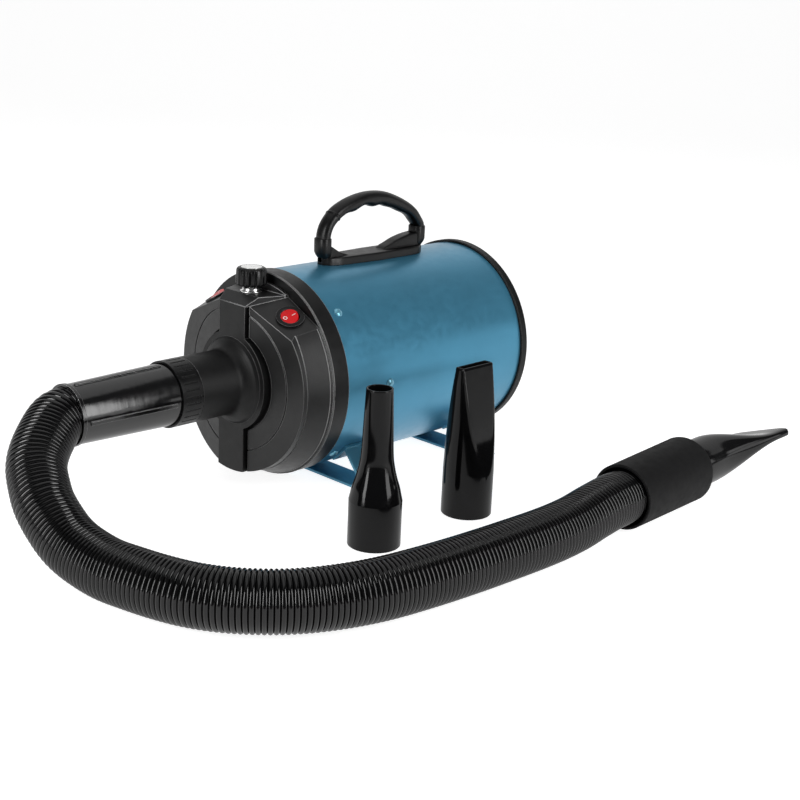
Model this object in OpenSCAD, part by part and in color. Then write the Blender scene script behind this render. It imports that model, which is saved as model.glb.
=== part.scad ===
// Cylinder dryer for pet grooming: a steel body tube on two bent stands, a moulded head with the
// speed knob and two rocker switches, a ribbed hose with a grip sleeve, and three nozzles.
// Millimetres. +Z is up, the air leaves towards -X, the origin is under the front stand.

/* [Body tube] */
// Outside diameter of the body tube
body_d = 175; // [160:1:176]
// Length of the body tube
body_l = 225; // [215:1:260]
// Wall thickness of the body tube
body_wall = 1.2; // [0.8:0.1:2]
// Height of the tube axis above the ground
axis_h = 91; // [90.5:0.5:110]

/* [Head ring] */
// Length of the black band between the tube and the head cover
band_l = 18; // [14:1:26]
// How far the band stands out over the tube
band_lip = 1.2; // [0.5:0.1:3]
// Length of the spigot that enters the tube
spigot_l = 16; // [14:1:24]
// Wall thickness of the ring
ring_wall = 3.6; // [3:0.2:5]

/* [Head cover] */
// Length of the head cover in front of the band
cover_l = 32.5; // [30:0.5:40]
// Length of the tapered shoulder
shoulder_l = 20.5; // [18:0.5:24]
// How much the shoulder tapers in radius
shoulder_drop = 7.5; // [5:0.5:10]
// Half width of the flat keel in the middle of the face
keel_w = 15; // [12:0.5:20]
// How far the face falls back at its sides
face_drop = 8.3; // [5:0.1:9]
// Wall thickness of the cover
cover_wall = 3.2; // [2.4:0.2:4]
// Half width of the control hump at its front edge
hump_w1 = 17; // [14:0.5:20]
// Half width of the control hump at its back edge
hump_w2 = 31; // [26:0.5:34]
// Height of the hump's top over the tube axis
hump_z = 74.3; // [73:0.1:76]
// Radius of the shallow ring groove in the face
face_groove_r = 61.5; // [56:0.5:66]

/* [Front panel and spout] */
// Half width of the upright front panel
panel_w = 16.5; // [14:0.5:18]
// Radius of the panel's round part
panel_r = 42.5; // [40:0.5:46]
// Width of the dark gap round the panel
panel_gap = 2.2; // [2:0.2:4]
// How far the panel stands out in front of the face
panel_lift = 2.8; // [2:0.1:3.2]
// Depth of the recess that holds the panel
panel_t = 4.5; // [3:0.5:5]
// Outside radius of the spout tube
spout_r = 27.8; // [27:0.1:30]
// Length of the spout from the panel to the collar
spout_l = 53; // [48:0.5:60]
// Radius of the air bore in the spout
spout_bore = 22.5; // [20:0.5:23]
// Wall thickness of the spout's nose
nose_wall = 2.5; // [2:0.1:3]

/* [Collar and cuff] */
// Length of the knurled lock collar
collar_l = 20.5; // [18:0.5:28]
// Outside radius of the lock collar
collar_r = 27.8; // [27.4:0.1:29]
// Grips round the lock collar
collar_grips = 30; // [12:1:40]
// Outside radius of the hose cuff at the hose
cuff_r = 24; // [23.8:0.1:24.2]
// How much the cuff widens towards the collar
cuff_flare = 1.9; // [0:0.1:2.1]
// Length of the hose cuff
cuff_l = 92; // [90:1:96]

/* [Knob] */
// Distance of the knob axis in front of the tube edge
knob_x = 32.8; // [31:0.1:34]
// Outside radius of the knob
knob_r = 11.5; // [9:0.5:13]
// Height of the knob
knob_h = 20.5; // [14:0.5:24]
// Flutes round the knob
knob_flutes = 18; // [8:1:30]
// Radius of the potentiometer shaft
pot_shaft_r = 3; // [2.5:0.1:3.2]

/* [Rocker switches] */
// Distance of the switches in front of the tube edge
switch_x = 30.3; // [28:0.1:32]
// Distance of the switches from the middle plane
switch_y = 47.1; // [45:0.1:49]
// Height of the switches over the tube axis
switch_z = 60.3; // [59:0.1:61]
// Tilt of the switch facets from level
facet_tilt = 31.5; // [29:0.5:34]
// Direction in which the facets fall, from straight ahead
facet_turn = 52; // [48:1:55]
// Turn of the rockers in their facets
rocker_turn = 115; // [105:1:125]
// Radius of the switch bezel
bezel_r = 11.8; // [11:0.1:13]
// Radius of the switch barrel
barrel_r = 9.9; // [9.5:0.1:10.5]
// Radius of the rocker
rocker_r = 7.9; // [7:0.1:8.3]
// Tilt of the rocker from off to on
rocker_tilt = 14; // [10:1:18]

/* [Rear rim and intake] */
// How far the rim stands out over the tube
rim_lip = 2.4; // [1:0.1:2.4]
// Length of the rim's outer flange
rim_flange = 5.7; // [4:0.1:12]
// Thickness of the rim behind the tube's edge
rim_back = 2.5; // [2:0.1:6]
// Inner radius of the rim
rim_ri = 82; // [80:0.5:83]
// Length of the rim's spigot in the tube
rim_spigot = 17; // [17:0.5:22]
// Thickness of the intake grille's face
grille_t = 2.5; // [2:0.1:4]
// Rings in the intake grille
grille_rings = 8; // [5:1:10]
// Bayonet lugs on the grille
lugs = 3; // [2:1:4]

/* [Handle] */
// Front leg of the grip, from the tube's front edge
leg_x1 = 50; // [48:0.5:52]
// Half width of the grip
grip_w = 9; // [8:0.5:9.5]
// Half thickness of the grip
grip_t = 6.6; // [5.5:0.1:7]
// Depth of the finger grooves
finger_d = 1.4; // [0:0.1:2]
// Length of the handle base
base_l = 121; // [119:1:124]
// Thickness of the handle base over the tube
base_t = 6; // [5:0.5:8]
// Half width of the handle base at its middle
base_w = 13.5; // [12.5:0.5:15]

/* [Stands] */
// Width of the stand straps
strap_w = 26.5; // [20:0.5:32]
// Thickness of the stand straps
strap_t = 2.2; // [1.6:0.1:3]
// Half width of the stands on the ground
stand_half = 96; // [88:1:110]
// Angle below level where a leg meets the tube
leg_angle = 40; // [36:1:44]
// Centre of the front stand, from the tube's front edge
foot_x = 31; // [30:0.5:33]
// Distance of the rear stand from the tube's rear edge
rear_inset = 55; // [52:1:64]

/* [Fan motor] */
// Outside radius of the fan housing
fan_r = 66; // [63:0.5:70]
// Radius of the impellers
impeller_r = 60; // [55:0.5:61]
// Vanes in each impeller
vanes = 9; // [6:1:12]
// Radius of the motor shaft
shaft_r = 4; // [3.5:0.1:4.5]
// Radius of the armature
armature_r = 23.3; // [21:0.1:23.6]
// Inner radius of the stator
stator_ri = 24; // [23.8:0.1:26]
// Outer radius of the motor frame
frame_r = 45; // [43:0.5:50]
// Radius of the commutator
commutator_r = 12; // [10:0.5:13]

/* [Heater] */
// Outside radius of the heater tube
heater_r = 34; // [32:0.5:34]
// Length of the heater tube
heater_l = 55; // [50:1:60]
// Number of heater windings shown as rings
heater_rings_n = 5; // [3:1:6]

/* [Hose] */
// Outside radius of the hose over its ribs
hose_r = 22.5; // [21.5:0.1:22.6]
// Depth of the ribs
rib_d = 1.8; // [0.8:0.1:2.2]
// Number of ribs
ribs = 190; // [80:1:200]
// Radius of the hose bore
hose_bore = 18; // [14:0.5:18]

/* [Grip sleeve] */
// Radius of the sleeve at the hose end
sleeve_r1 = 27.3; // [26.5:0.1:28]
// Radius of the sleeve at the nozzle end
sleeve_r2 = 28.6; // [28:0.1:30]
// Length of the sleeve
sleeve_l = 101.5; // [95:0.5:120]
// Radius of the sleeve's open end
sleeve_bore = 24.5; // [24:0.1:25]

/* [Nozzles] */
// Outside radius of the round base of the nozzles
nozzle_r = 21.1; // [18:0.1:21.2]
// Wall thickness of the nozzles
nozzle_wall = 1.6; // [1.2:0.1:2.2]
// Height of the two standing nozzles
nozzle_h = 127; // [110:1:150]
// Radius of the round nozzle's mouth
mouth_r = 10.5; // [8:0.5:14]
// Half width of the flat nozzle's slot
slot_half = 4.4; // [3:0.1:8]
// Length of the wide nozzle on the sleeve
wide_l = 171; // [150:1:190]
// Half width of the wide nozzle's mouth
wide_half = 30; // [24:0.5:34]
// Half thickness of the wide nozzle's mouth
wide_t = 4.5; // [3.5:0.1:6]
// Roll of the wide nozzle on its sleeve
wide_roll = -20; // [-25:1:20]

/* [Fasteners] */
// Radius of the screw and rivet heads
head_r = 4; // [3:0.1:4.5]
// Radius of the screw and rivet shanks
shank_r = 1.8; // [1.5:0.1:2]

/* [Clearances] */
// Gap between fitted faces
fit = 0.2; // [0.1:0.05:0.3]
// Gap round a turning or sliding fit
run = 0.08; // [0.05:0.01:0.1]
// Gap between pieces that move past each other
free = 0.3; // [0.2:0.1:0.5]

/* [Hidden] */
$fn = 96;

body_r = body_d / 2;
shell_ri = body_r - body_wall;
ring_ro = shell_ri - fit;
ring_ri = ring_ro - ring_wall;
band_r = body_r + band_lip;
flange_ri = ring_ri - 6.5;
// head cover
cover_x = -band_l;
face_x = cover_x - cover_l;
shoulder_x = cover_x - shoulder_l;
shoulder_r1 = body_r + 0.5;
shoulder_r2 = shoulder_r1 - shoulder_drop;
plateau_r = shoulder_r2 - 0.5;
side_y = plateau_r + 1;
recess_x = face_x + panel_t;
cover_in_x = recess_x + cover_wall + 0.3;
panel_x = face_x - panel_lift;
panel_top = 66.5;
hump_l = cover_x + 1 - panel_x;
pivot_z = 3.5;
// spout, collar and cuff
spout_x = face_x - spout_l;
nose_r = spout_bore + nose_wall;
nose_x = spout_x - collar_l + 2.6;
collar_x = spout_x - collar_l;
collar_ri = nose_r + run;
cuff_x = nose_x - free;
cuff_end = collar_x - cuff_l;
cuff_r2 = cuff_r + cuff_flare;
cuff_socket = hose_r + 0.6;
spigot_r = heater_r + fit + 2.2;
// rear end
rim_x = body_l - rim_flange;
rim_end = body_l + rim_back;
rim_in = body_l - rim_spigot;
rim_ro = body_r + rim_lip;
lip_r = rim_ri - 4;
sponge_x = rim_in + 2;
grille_x = rim_end - 8.5;
grille_r = rim_ri - free;
bulkhead_x = rim_in - 18;
// fan and motor, placed from the bulkhead forwards
gasket_x = bulkhead_x - 4;
fan_x2 = gasket_x;
fan_x1 = fan_x2 - 52;
diff_x = fan_x1 + 24;
plate_t = 3;
cage_x1 = fan_x1 - 60;
nose_in = cage_x1 - 14;
mount_x = nose_in - 8;
bracket_x = mount_x - 6;
ring_x = bracket_x - 4;
bearing_r = 9;
stator_x = fan_x1 - 45;
stator_l = 33;
stator_ro = frame_r - 3.2;
loom_r = ring_ri - 4.5;
loom_a = -30;
foot_gap = body_l - foot_x - rear_inset;
coil_z1 = stator_ri + 4;
coil_z2 = coil_z1 + 0.52 * (stator_ro - coil_z1);
coil_w = 0.43 * stator_ro;
inlet_r = 0.4 * impeller_r;
gland_x = (bulkhead_x + 1.2 + rim_in) / 2;
screw_x = 9.6;
side_screw_x = ring_x + 7;
leg_gap = base_l - 5.5;
bolt_x = [leg_x1 + 22, leg_x1 + leg_gap - 29.5];
// heater
heat_x2 = recess_x + heater_l + 1;
// nozzles and sleeve
sleeve_x = 89.7;
sleeve_y = -285;
sleeve_turn = 4.3;
hose_in = 40;
socket_r = nozzle_r + run;
base_in = 36;
round_xy = [-84.5, -178];
flat_xy = [23, -177.5];

// Places children on the tube's axis, with x = 0 at the tube's front edge
module on_axis() { translate([-foot_x, 0, axis_h]) children(); }
// A body turned about the tube axis from [radius, x] points
module turned(pts) { rotate([0, 90, 0]) rotate_extrude() polygon(pts); }
// A ring about the tube axis
module ring(ro, ri, x1, x2) { turned([[ri, x1], [ro, x1], [ro, x2], [ri, x2]]); }
// A disc or rod about the tube axis
module rod(r, x1, x2) { translate([x1, 0, 0]) rotate([0, 90, 0]) cylinder(r = r, h = x2 - x1); }
// Puts the local z axis along the radius at angle a in the cross section, at x
module radial(x, a) { translate([x, 0, 0]) rotate([a - 90, 0, 0]) children(); }
// Frame of a switch facet: +z is its outward normal
module at_facet(side) {
    translate([-switch_x, side * switch_y, switch_z])
        rotate([0, 0, side * (180 - facet_turn)]) rotate([0, facet_tilt, 0]) children();
}
// Frame of the grip sleeve: +x runs along the sleeve from its open end
module at_sleeve() {
    translate([sleeve_x, sleeve_y, sleeve_r2]) rotate([0, 0, sleeve_turn]) children();
}

function ellipse(a, b, n, e = 2) = [for (i = [0:n - 1]) let (t = 360 * i / n)
    [a * sign(cos(t)) * pow(abs(cos(t)), 2 / e), b * sign(sin(t)) * pow(abs(sin(t)), 2 / e)]];
function smooth(t) = 0.5 - 0.5 * cos(180 * max(0, min(1, t)));
function unit(v) = v / norm(v);
// Catmull-Rom point between p[i] and p[i + 1]
function cr(p, i, t) = let (n = len(p) - 1, a = p[max(0, i - 1)], b = p[i], c = p[min(n, i + 1)],
    d = p[min(n, i + 2)])
    0.5 * (2 * b + (c - a) * t + (2 * a - 5 * b + 4 * c - d) * t * t
    + (3 * b - a - 3 * c + d) * t * t * t);
function curve(p, k) = [for (i = [0:len(p) - 2], j = [0:k - 1]) cr(p, i, j / k), p[len(p) - 1]];
// Triangles that join rings of n points, ring after ring
function skin(rings, n, o = 0, flip = false) = [for (i = [0:rings - 2], j = [0:n - 1], k = [0, 1])
    let (a = o + i * n + j, b = o + i * n + (j + 1) % n, c = a + n, d = b + n,
    f = k == 0 ? [a, b, c] : [b, d, c]) flip ? [f[0], f[2], f[1]] : f];
function fan(n, o, flip = false) = [for (j = [1:n - 2])
    flip ? [o, o + j + 1, o + j] : [o, o + j, o + j + 1]];

// ---------------------------------------------------------------- body tube
module shell() color("steelblue") on_axis() difference() {
    ring(body_r, shell_ri, 0, body_l);
    for (a = [45:90:315]) radial(screw_x, a) cylinder(r = shank_r + fit, h = body_r + 5);
    for (a = [0, 180]) radial(side_screw_x, a) cylinder(r = shank_r + fit, h = body_r + 5);
    for (x = bolt_x) radial(x, 90) cylinder(r = shank_r + fit, h = body_r + 5);
    for (x = [foot_x, foot_x + foot_gap], s = [-1, 1])
        radial(x, -90 + s * (90 - leg_angle - 8)) cylinder(r = shank_r + fit, h = body_r + 5);
    radial(gland_x, loom_a) cylinder(r = 6 + fit, h = body_r + 5);
}

module head_ring() color("dimgray") on_axis() difference() {
    union() {
        turned([[flange_ri, cover_x], [band_r, cover_x], [band_r, cover_x + 0.7],
            [band_r - 0.5, cover_x + 0.7], [band_r - 0.5, cover_x + 1.5], [band_r, cover_x + 1.5],
            [band_r, 0], [ring_ro, 0], [ring_ro, spigot_l], [ring_ri, spigot_l],
            [ring_ri, cover_x + 3], [flange_ri, cover_x + 3]]);
        intersection() {
            for (s = [-1, 1]) translate([cover_x + 1, s * 24 - 2, 43.6]) cube([5, 4, body_r]);
            rod(ring_ri + 1, cover_x, 0);
        }
    }
    for (a = [45:90:315]) radial(screw_x, a) cylinder(r = shank_r + 0.05, h = body_r);
}

// ---------------------------------------------------------------- head cover
// Upright prism that gives the face its keel, set back by d
module face_prism(d = 0) {
    translate([0, 0, -2 * body_r]) linear_extrude(4 * body_r)
        polygon([[cover_x, -body_r - 9], [face_x + face_drop + d, -side_y], [face_x + d, -keel_w],
            [face_x + d, keel_w], [face_x + face_drop + d, side_y], [cover_x, body_r + 9]]);
}
// Plan of the control hump, set in by d
module hump_plan(d = 0) {
    linear_extrude(2 * body_r) polygon([[panel_x + d, -hump_w1 + d], [cover_x + 1, -hump_w2 + d],
        [cover_x + 1, hump_w2 - d], [panel_x + d, hump_w1 - d]]);
}
// The hump between its walls, lowered by d
module hump(d = 0) intersection() {
    translate([0, 0, 40]) hump_plan(d);
    hump_side(d);
    for (s = [-1, 1]) hump_edge(s, d);
    rod(2 * body_r, panel_x, cover_x);
}
// Rounded upper side edge of the hump, set in and lowered by d
module hump_edge(s, d = 0) translate([panel_x, s * hump_w1, 0])
    rotate([0, 0, s * atan2(hump_w2 - hump_w1, hump_l)]) translate([-20, 0, 0]) rotate([90, 0, 90])
    linear_extrude(hump_l + 60) polygon([for (q = [[0, 30], [0, hump_z - 3.4], [1.2, hump_z - 1.7],
        [3, hump_z - 0.6], [6, hump_z + 0.1], [140, hump_z + 0.1], [140, 30]])
        [-s * (q[0] + d), q[1] - d]]);
// Side view of the hump, lowered by d
module hump_side(d = 0) rotate([90, 0, 0]) translate([0, 0, -body_r]) linear_extrude(2 * body_r)
    polygon([[panel_x, 30], [panel_x, hump_z - 7.4 - d], [face_x + 8, hump_z - 0.4 - d],
        [-knob_x + 11, hump_z - d], [cover_x + 2, hump_z - d], [cover_x + 2, 30]]);
module facet_cut(side, d = 0) at_facet(side) translate([-75, -90, -d]) cube([150, 180, 80]);
module head_cover() color("#2b2b2d") on_axis() difference() {
    union() {
        difference() {
            intersection() {
                turned([[0, cover_x], [shoulder_r1, cover_x], [shoulder_r2, shoulder_x],
                    [plateau_r, shoulder_x], [plateau_r, face_x], [0, face_x]]);
                face_prism();
            }
            for (s = [-1, 1]) facet_cut(s);
            translate([0, 0, 50]) hump_plan(2.5);
            difference() {
                ring(face_groove_r + 0.6, face_groove_r - 0.6, face_x - 1, shoulder_x);
                face_prism(1);
            }
        }
        hump();
        intersection() {
            rod(hump_z + 6.7, cover_x - 3, cover_x);
            translate([cover_x - 4, -hump_w2 + 1, 50]) cube([8, 2 * hump_w2 - 2, 60]);
        }
    }
    // recess for the front panel, open at the bottom
    intersection() {
        rod(body_r + 5, panel_x - 1, recess_x);
        union() {
            translate([panel_x - 2, -panel_w - panel_gap, -body_r - 5])
                cube([20, 2 * (panel_w + panel_gap), body_r + 5 + panel_top]);
            rod(panel_r + panel_gap, panel_x - 2, recess_x + 1);
        }
    }
    rod(spigot_r + 0.3, face_x, cover_x);
    // hollow inside
    difference() {
        intersection() {
            turned([[0, cover_x + 1], [shoulder_r1 - cover_wall, cover_x + 1],
                [plateau_r - cover_wall, shoulder_x], [plateau_r - cover_wall, face_x], [0, face_x]]);
            translate([0, 0, -2 * body_r]) linear_extrude(4 * body_r)
                polygon([[cover_x + 1, -body_r], [shoulder_x - 0.5, -side_y], [cover_in_x, -25],
                    [cover_in_x, 25], [shoulder_x - 0.5, side_y], [cover_x + 1, body_r]]);
        }
        for (s = [-1, 1]) facet_cut(s, cover_wall);
        difference() {
            translate([0, 0, 50]) hump_plan(-cover_wall);
            hump_side(cover_wall);
        }
    }
    intersection() {
        hump(cover_wall);
        rod(body_r, cover_in_x, cover_x + 1);
    }
    // bush hole of the knob and the two switch holes
    translate([-knob_x, 0, 40]) cylinder(r = 4.5 + fit, h = 60);
    for (s = [-1, 1]) at_facet(s) translate([0, 0, -12]) cylinder(r = barrel_r + fit, h = 20);
}

module front_panel() color("#333335") on_axis() union() {
    difference() {
        union() {
            intersection() {
                translate([panel_x, -panel_w, -body_r])
                    cube([recess_x - panel_x, 2 * panel_w, body_r + panel_top]);
                rod(plateau_r, panel_x - 1, recess_x + 1);
            }
            rod(panel_r, panel_x, recess_x);
        }
        rod(panel_r - 2, panel_x - 2, recess_x + 2);
    }
    turned(concat([[spout_bore, nose_x], [nose_r, nose_x], [nose_r, spout_x], [spout_r, spout_x]],
        [for (i = [0:8]) let (t = i / 8) [spout_r + (panel_r - 6.9 - spout_r) * pow(t, 2.2),
            panel_x - 2.7 - 11 * (1 - t)]],
        [[panel_r - 5, panel_x], [panel_r - 1, panel_x], [panel_r - 1, recess_x],
        [spigot_r, recess_x], [spigot_r, recess_x + 10], [heater_r + fit, recess_x + 10],
        [heater_r + fit, recess_x - 0.5], [heater_r - 1, recess_x - 2], [spout_bore, face_x - 13]]));
}

// ---------------------------------------------------------------- switches
module rocker_case(side) color("#1d1d1f") on_axis() at_facet(side) {
    difference() {
        union() {
            translate([0, 0, 0]) cylinder(r = bezel_r, h = 2);
            translate([0, 0, -14]) cylinder(r = barrel_r, h = 15);
            rotate([0, 0, rocker_turn]) for (x = [-5, 0, 5]) translate([x - 0.4, -2.4, -21]) cube([0.8, 4.8, 8]);
        }
        translate([0, 0, -8]) cylinder(r = rocker_r + free, h = 12);
    }
    rotate([0, 0, rocker_turn]) for (s = [-1, 1]) translate([0, s * (rocker_r - 0.2), -pivot_z])
        rotate([90, 0, 0]) cylinder(r = 1, h = 1.6, center = true);
}
module rocker_case_near() rocker_case(-1);
module rocker_case_far() mirror([0, 1, 0]) rocker_case(-1);
// Turns children about the rocker's pivot, which lies below the facet
module about_pivot(a) translate([0, 0, -pivot_z]) rotate([0, a, 0]) translate([0, 0, pivot_z]) children();
module rocker(side) color("#d8202a") on_axis() at_facet(side) rotate([0, 0, rocker_turn]) difference() {
    intersection() {
        translate([0, 0, -8]) cylinder(r = rocker_r, h = 16);
        about_pivot(-rocker_tilt) translate([0, 0, -9]) cylinder(r = rocker_r + 0.06, h = 18);
        about_pivot(-rocker_tilt / 2) translate([0, rocker_r + 1, 0]) rotate([90, 0, 0])
            linear_extrude(2 * rocker_r + 2) polygon([[-rocker_r - 2, -1], [-3, -5.5], [3, -5.5],
                [rocker_r + 2, -1], [rocker_r + 2, 3.1], [0, 1.7], [-rocker_r - 2, 3.1]]);
    }
    translate([0, rocker_r + 1, -pivot_z]) rotate([90, 0, 0]) cylinder(r = 1.08, h = 2 * rocker_r + 2);
}
module rocker_near() rocker(-1);
module rocker_far() mirror([0, 1, 0]) rocker(-1);

// ---------------------------------------------------------------- knob
module at_knob() on_axis() translate([-knob_x, 0, hump_z]) children();
module knob_nut() color("silver") at_knob() difference() {
    union() {
        cylinder(r = 9, h = 0.8);
        translate([0, 0, 0.8]) cylinder(r = 7, h = 1.6, $fn = 6);
    }
    translate([0, 0, -1]) cylinder(r = 4.6, h = 5);
}
module potentiometer() color("#5b6b58") at_knob() difference() {
    union() {
        translate([0, 0, -cover_wall - 11.5]) cylinder(r = 8.5, h = 10.8);
        translate([0, 0, -cover_wall - 1]) cylinder(r = 4.5, h = cover_wall + 3.2);
        for (y = [-5, 0, 5]) translate([-6.6, y - 0.6, -cover_wall - 16]) cube([0.6, 1.2, 10]);
    }
    translate([0, 0, -cover_wall - 9]) cylinder(r = pot_shaft_r + run, h = 20);
}
module pot_shaft() color("silver") at_knob()
    translate([0, 0, -cover_wall - 8.7]) cylinder(r = pot_shaft_r, h = cover_wall + 8.7 + 16);
module speed_knob() color("#202022") at_knob() difference() {
    translate([0, 0, 2.7]) union() {
        cylinder(r = knob_r - 0.7, h = knob_h - 1);
        cylinder(r1 = knob_r, r2 = knob_r - 0.5, h = knob_h - 1.6);
        translate([0, 0, knob_h - 1]) cylinder(r = knob_r - 0.7, h = 1);
    }
    for (i = [0:knob_flutes - 1]) rotate([0, 0, 360 * i / knob_flutes])
        translate([knob_r + 0.35, 0, 4]) cylinder(r = 1.1, h = knob_h);
    translate([0, 0, 2]) cylinder(r = pot_shaft_r + 0.02, h = 14.2);
    translate([0, 0, 2]) cylinder(r = 7.6, h = 3);
    translate([0, 0, 2.7 + knob_h - 1]) cylinder(r = 8.2, h = 3);
}
module knob_cap() color("silver") at_knob() translate([0, 0, 1.7 + knob_h]) cylinder(r = 8, h = 1.2);

// ---------------------------------------------------------------- spout collar and cuff
module hose_collar() color("#26262a") on_axis() difference() {
    union() {
        ring(collar_r, collar_ri, cuff_x, spout_x - free);
        ring(collar_r, cuff_r2 + free, collar_x, cuff_x);
    }
    for (i = [0:collar_grips - 1]) rotate([360 * i / collar_grips, 0, 0])
        translate([collar_x + 3, 0, collar_r + 0.5]) rotate([0, 90, 0]) cylinder(r = 1, h = collar_l - 6);
}
module hose_cuff() color("#242427") on_axis() union() {
    turned([[spout_bore - fit, cuff_x], [cuff_r2, cuff_x], [cuff_r2, collar_x],
        [cuff_r, cuff_end + 3.5],
        [cuff_r + 1, cuff_end + 3], [cuff_r + 1, cuff_end], [cuff_socket, cuff_end],
        [cuff_socket, cuff_end + 25.3], [spout_bore - 2.6, cuff_end + 25.3],
        [spout_bore - 2.6, cuff_x + 14], [spout_bore - fit, cuff_x + 14]]);
    for (a = [4, -84]) rotate([a, 0, 0]) translate([collar_x - 5, -cuff_r2 + 0.1, -1.5])
        rotate([0, 0, -atan(cuff_flare / (cuff_l - 3.5))]) mirror([1, 0, 0])
        translate([0, -1, 0]) cube([cuff_l - 12, 2, 3]);
}

// ---------------------------------------------------------------- rear end
module rear_rim() color("#2a2a2c") on_axis() difference() {
    turned([[rim_ri, rim_end], [rim_ro - 1, rim_end], [rim_ro, rim_end - 1], [rim_ro, rim_x + 0.8],
        [rim_ro - 0.8, rim_x], [body_r + fit, rim_x], [body_r + fit, body_l + fit],
        [ring_ro, body_l + fit], [ring_ro, rim_in], [lip_r, rim_in], [lip_r, sponge_x],
        [rim_ri, sponge_x], [rim_ri, grille_x + 1], [rim_ri + 2.3, grille_x + 1],
        [rim_ri + 2.3, grille_x + 4.5], [rim_ri, grille_x + 4.5]]);
    for (i = [0:lugs - 1]) rotate([360 * i / lugs + 30, 0, 0])
        translate([grille_x + 2, -13, rim_ri - 3]) cube([20, 26, 5.3]);
}
module intake_grille() color("#252527") on_axis() union() {
    ring(grille_r, grille_r - 3, grille_x, rim_end);
    for (i = [1:grille_rings]) let (r = 6 + (grille_r - 6) * i / grille_rings)
        ring(r, r - 3, rim_end - grille_t, rim_end);
    rod(8, rim_end - grille_t, rim_end);
    for (a = [0:30:150]) rotate([a, 0, 0])
        translate([rim_end - grille_t, -grille_r + 1, -1.5]) cube([grille_t - 0.5, 2 * grille_r - 2, 3]);
    intersection() {
        ring(rim_ri + 2, grille_r - 1, grille_x + 1.3, grille_x + 4.2);
        for (i = [0:lugs - 1]) rotate([360 * i / lugs, 0, 0])
            translate([grille_x, -12, rim_ri - 4]) cube([9, 24, 9]);
    }
}
module filter_sponge() color("#3a3d42") on_axis() rod(rim_ri - 0.5, sponge_x + 0.2, grille_x - 0.3);
module rear_bulkhead() color("#9aa0a6") on_axis() difference() {
    ring(shell_ri - 0.1, 30, bulkhead_x, bulkhead_x + 1.2);
    rotate([loom_a, 0, 0]) translate([0, loom_r, 0]) rod(2.9, bulkhead_x - 1, bulkhead_x + 3);
}
module cord_gland() color("#1b1b1d") on_axis() radial(gland_x, loom_a) difference() {
    union() {
        translate([0, 0, shell_ri - 3]) cylinder(r = 6, h = body_wall + 4);
        translate([0, 0, shell_ri - 3.2]) cylinder(r = 7.5, h = 2.8, $fn = 6);
        translate([0, 0, body_r + 0.5]) cylinder(r = 7, h = 4);
        translate([0, 0, body_r + 4.5]) cylinder(r1 = 6, r2 = 4.6, h = 16);
    }
    translate([0, 0, shell_ri - 6]) cylinder(r = 3.6, h = 40);
}

// ---------------------------------------------------------------- handle
grip_path = [[0, 98], [0, 108], [0.5, 114], [3, 120], [7.5, 125.5], [15, 131], [26, 135.8],
    [40, 139.2], [54, 140.2], [68, 138.6], [82, 134], [95, 128], [103.5, 122.5], [109.5, 116.8],
    [114, 113], [115.5, 108.5], [115.5, 98]];
grip_z0 = 87.5;
grip_span = 115.5;
module handle_grip() color("#1f1f21") on_axis() {
    p = curve([for (q = grip_path) [q[0] * leg_gap / grip_span + leg_x1, q[1] - grip_z0 + body_r]], 4);
    n = len(p);
    m = 24;
    pts = [for (i = [0:n - 1]) let (t = unit(p[min(n - 1, i + 1)] - p[max(0, i - 1)]),
        u = [-t[1], t[0]], s = i / (n - 1), w = smooth((s - 0.22) * 8) * smooth((0.86 - s) * 8),
        g = finger_d * w * (0.5 - 0.5 * cos(360 * 5 * s)))
        for (q = ellipse(1, 1, m, 2.4)) let (k = q[0] < 0 ? (grip_t + 0.7 * w - g) : grip_t)
            [p[i][0] + u[0] * q[0] * k, q[1] * grip_w, p[i][1] + u[1] * q[0] * k]];
    polyhedron(pts, concat(skin(n, m), fan(m, 0, true), fan(m, (n - 1) * m)), convexity = 4);
}
module ear(x, z) translate([x, 0, z]) linear_extrude(14) polygon(ellipse(8.6, 10.7, 48, 2.4));
module ear_hollow(x, z) translate([x, 0, z]) linear_extrude(40)
    polygon(ellipse(grip_t + 0.3, grip_w + 0.3, 48, 2.4));
module handle_base() color("#262628") on_axis() difference() {
    union() {
        intersection() {
            translate([0, 0, body_r - 8]) linear_extrude(40) polygon([
                [leg_x1 - 8, -6], [leg_x1 + 22, -base_w + 2.5], [leg_x1 + 55, -base_w],
                [leg_x1 + base_l - 14, -base_w + 1.5], [leg_x1 + base_l - 8, -8],
                [leg_x1 + base_l - 8, 8], [leg_x1 + base_l - 14, base_w - 1.5],
                [leg_x1 + 55, base_w], [leg_x1 + 22, base_w - 2.5], [leg_x1 - 8, 6]]);
            rotate([90, 0, 0]) translate([0, 0, -20]) linear_extrude(40) polygon([
                [leg_x1 - 8, body_r - 8], [leg_x1 - 8, body_r + 14], [leg_x1 + 8, body_r + 12],
                [leg_x1 + 16, body_r + base_t + 1], [leg_x1 + 24, body_r + base_t],
                [leg_x1 + leg_gap - 23.5, body_r + base_t],
                [leg_x1 + leg_gap - 16.5, body_r + base_t + 1],
                [leg_x1 + leg_gap - 8.5, body_r + 12], [leg_x1 + base_l - 8, body_r + 12],
                [leg_x1 + base_l - 8, body_r - 8]]);
        }
        ear(leg_x1, body_r + 8.5);
        ear(leg_x1 + leg_gap, body_r + 6.5);
    }
    rod(body_r + fit, -10, body_l + 10);
    ear_hollow(leg_x1, body_r + 10.2);
    ear_hollow(leg_x1 + leg_gap, body_r + 10.2);
    for (x = bolt_x) radial(x, 90) {
        cylinder(r = shank_r + fit, h = body_r + 30);
        translate([0, 0, body_r + base_t - 2]) cylinder(r = head_r + 0.4, h = 20);
    }
}
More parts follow.
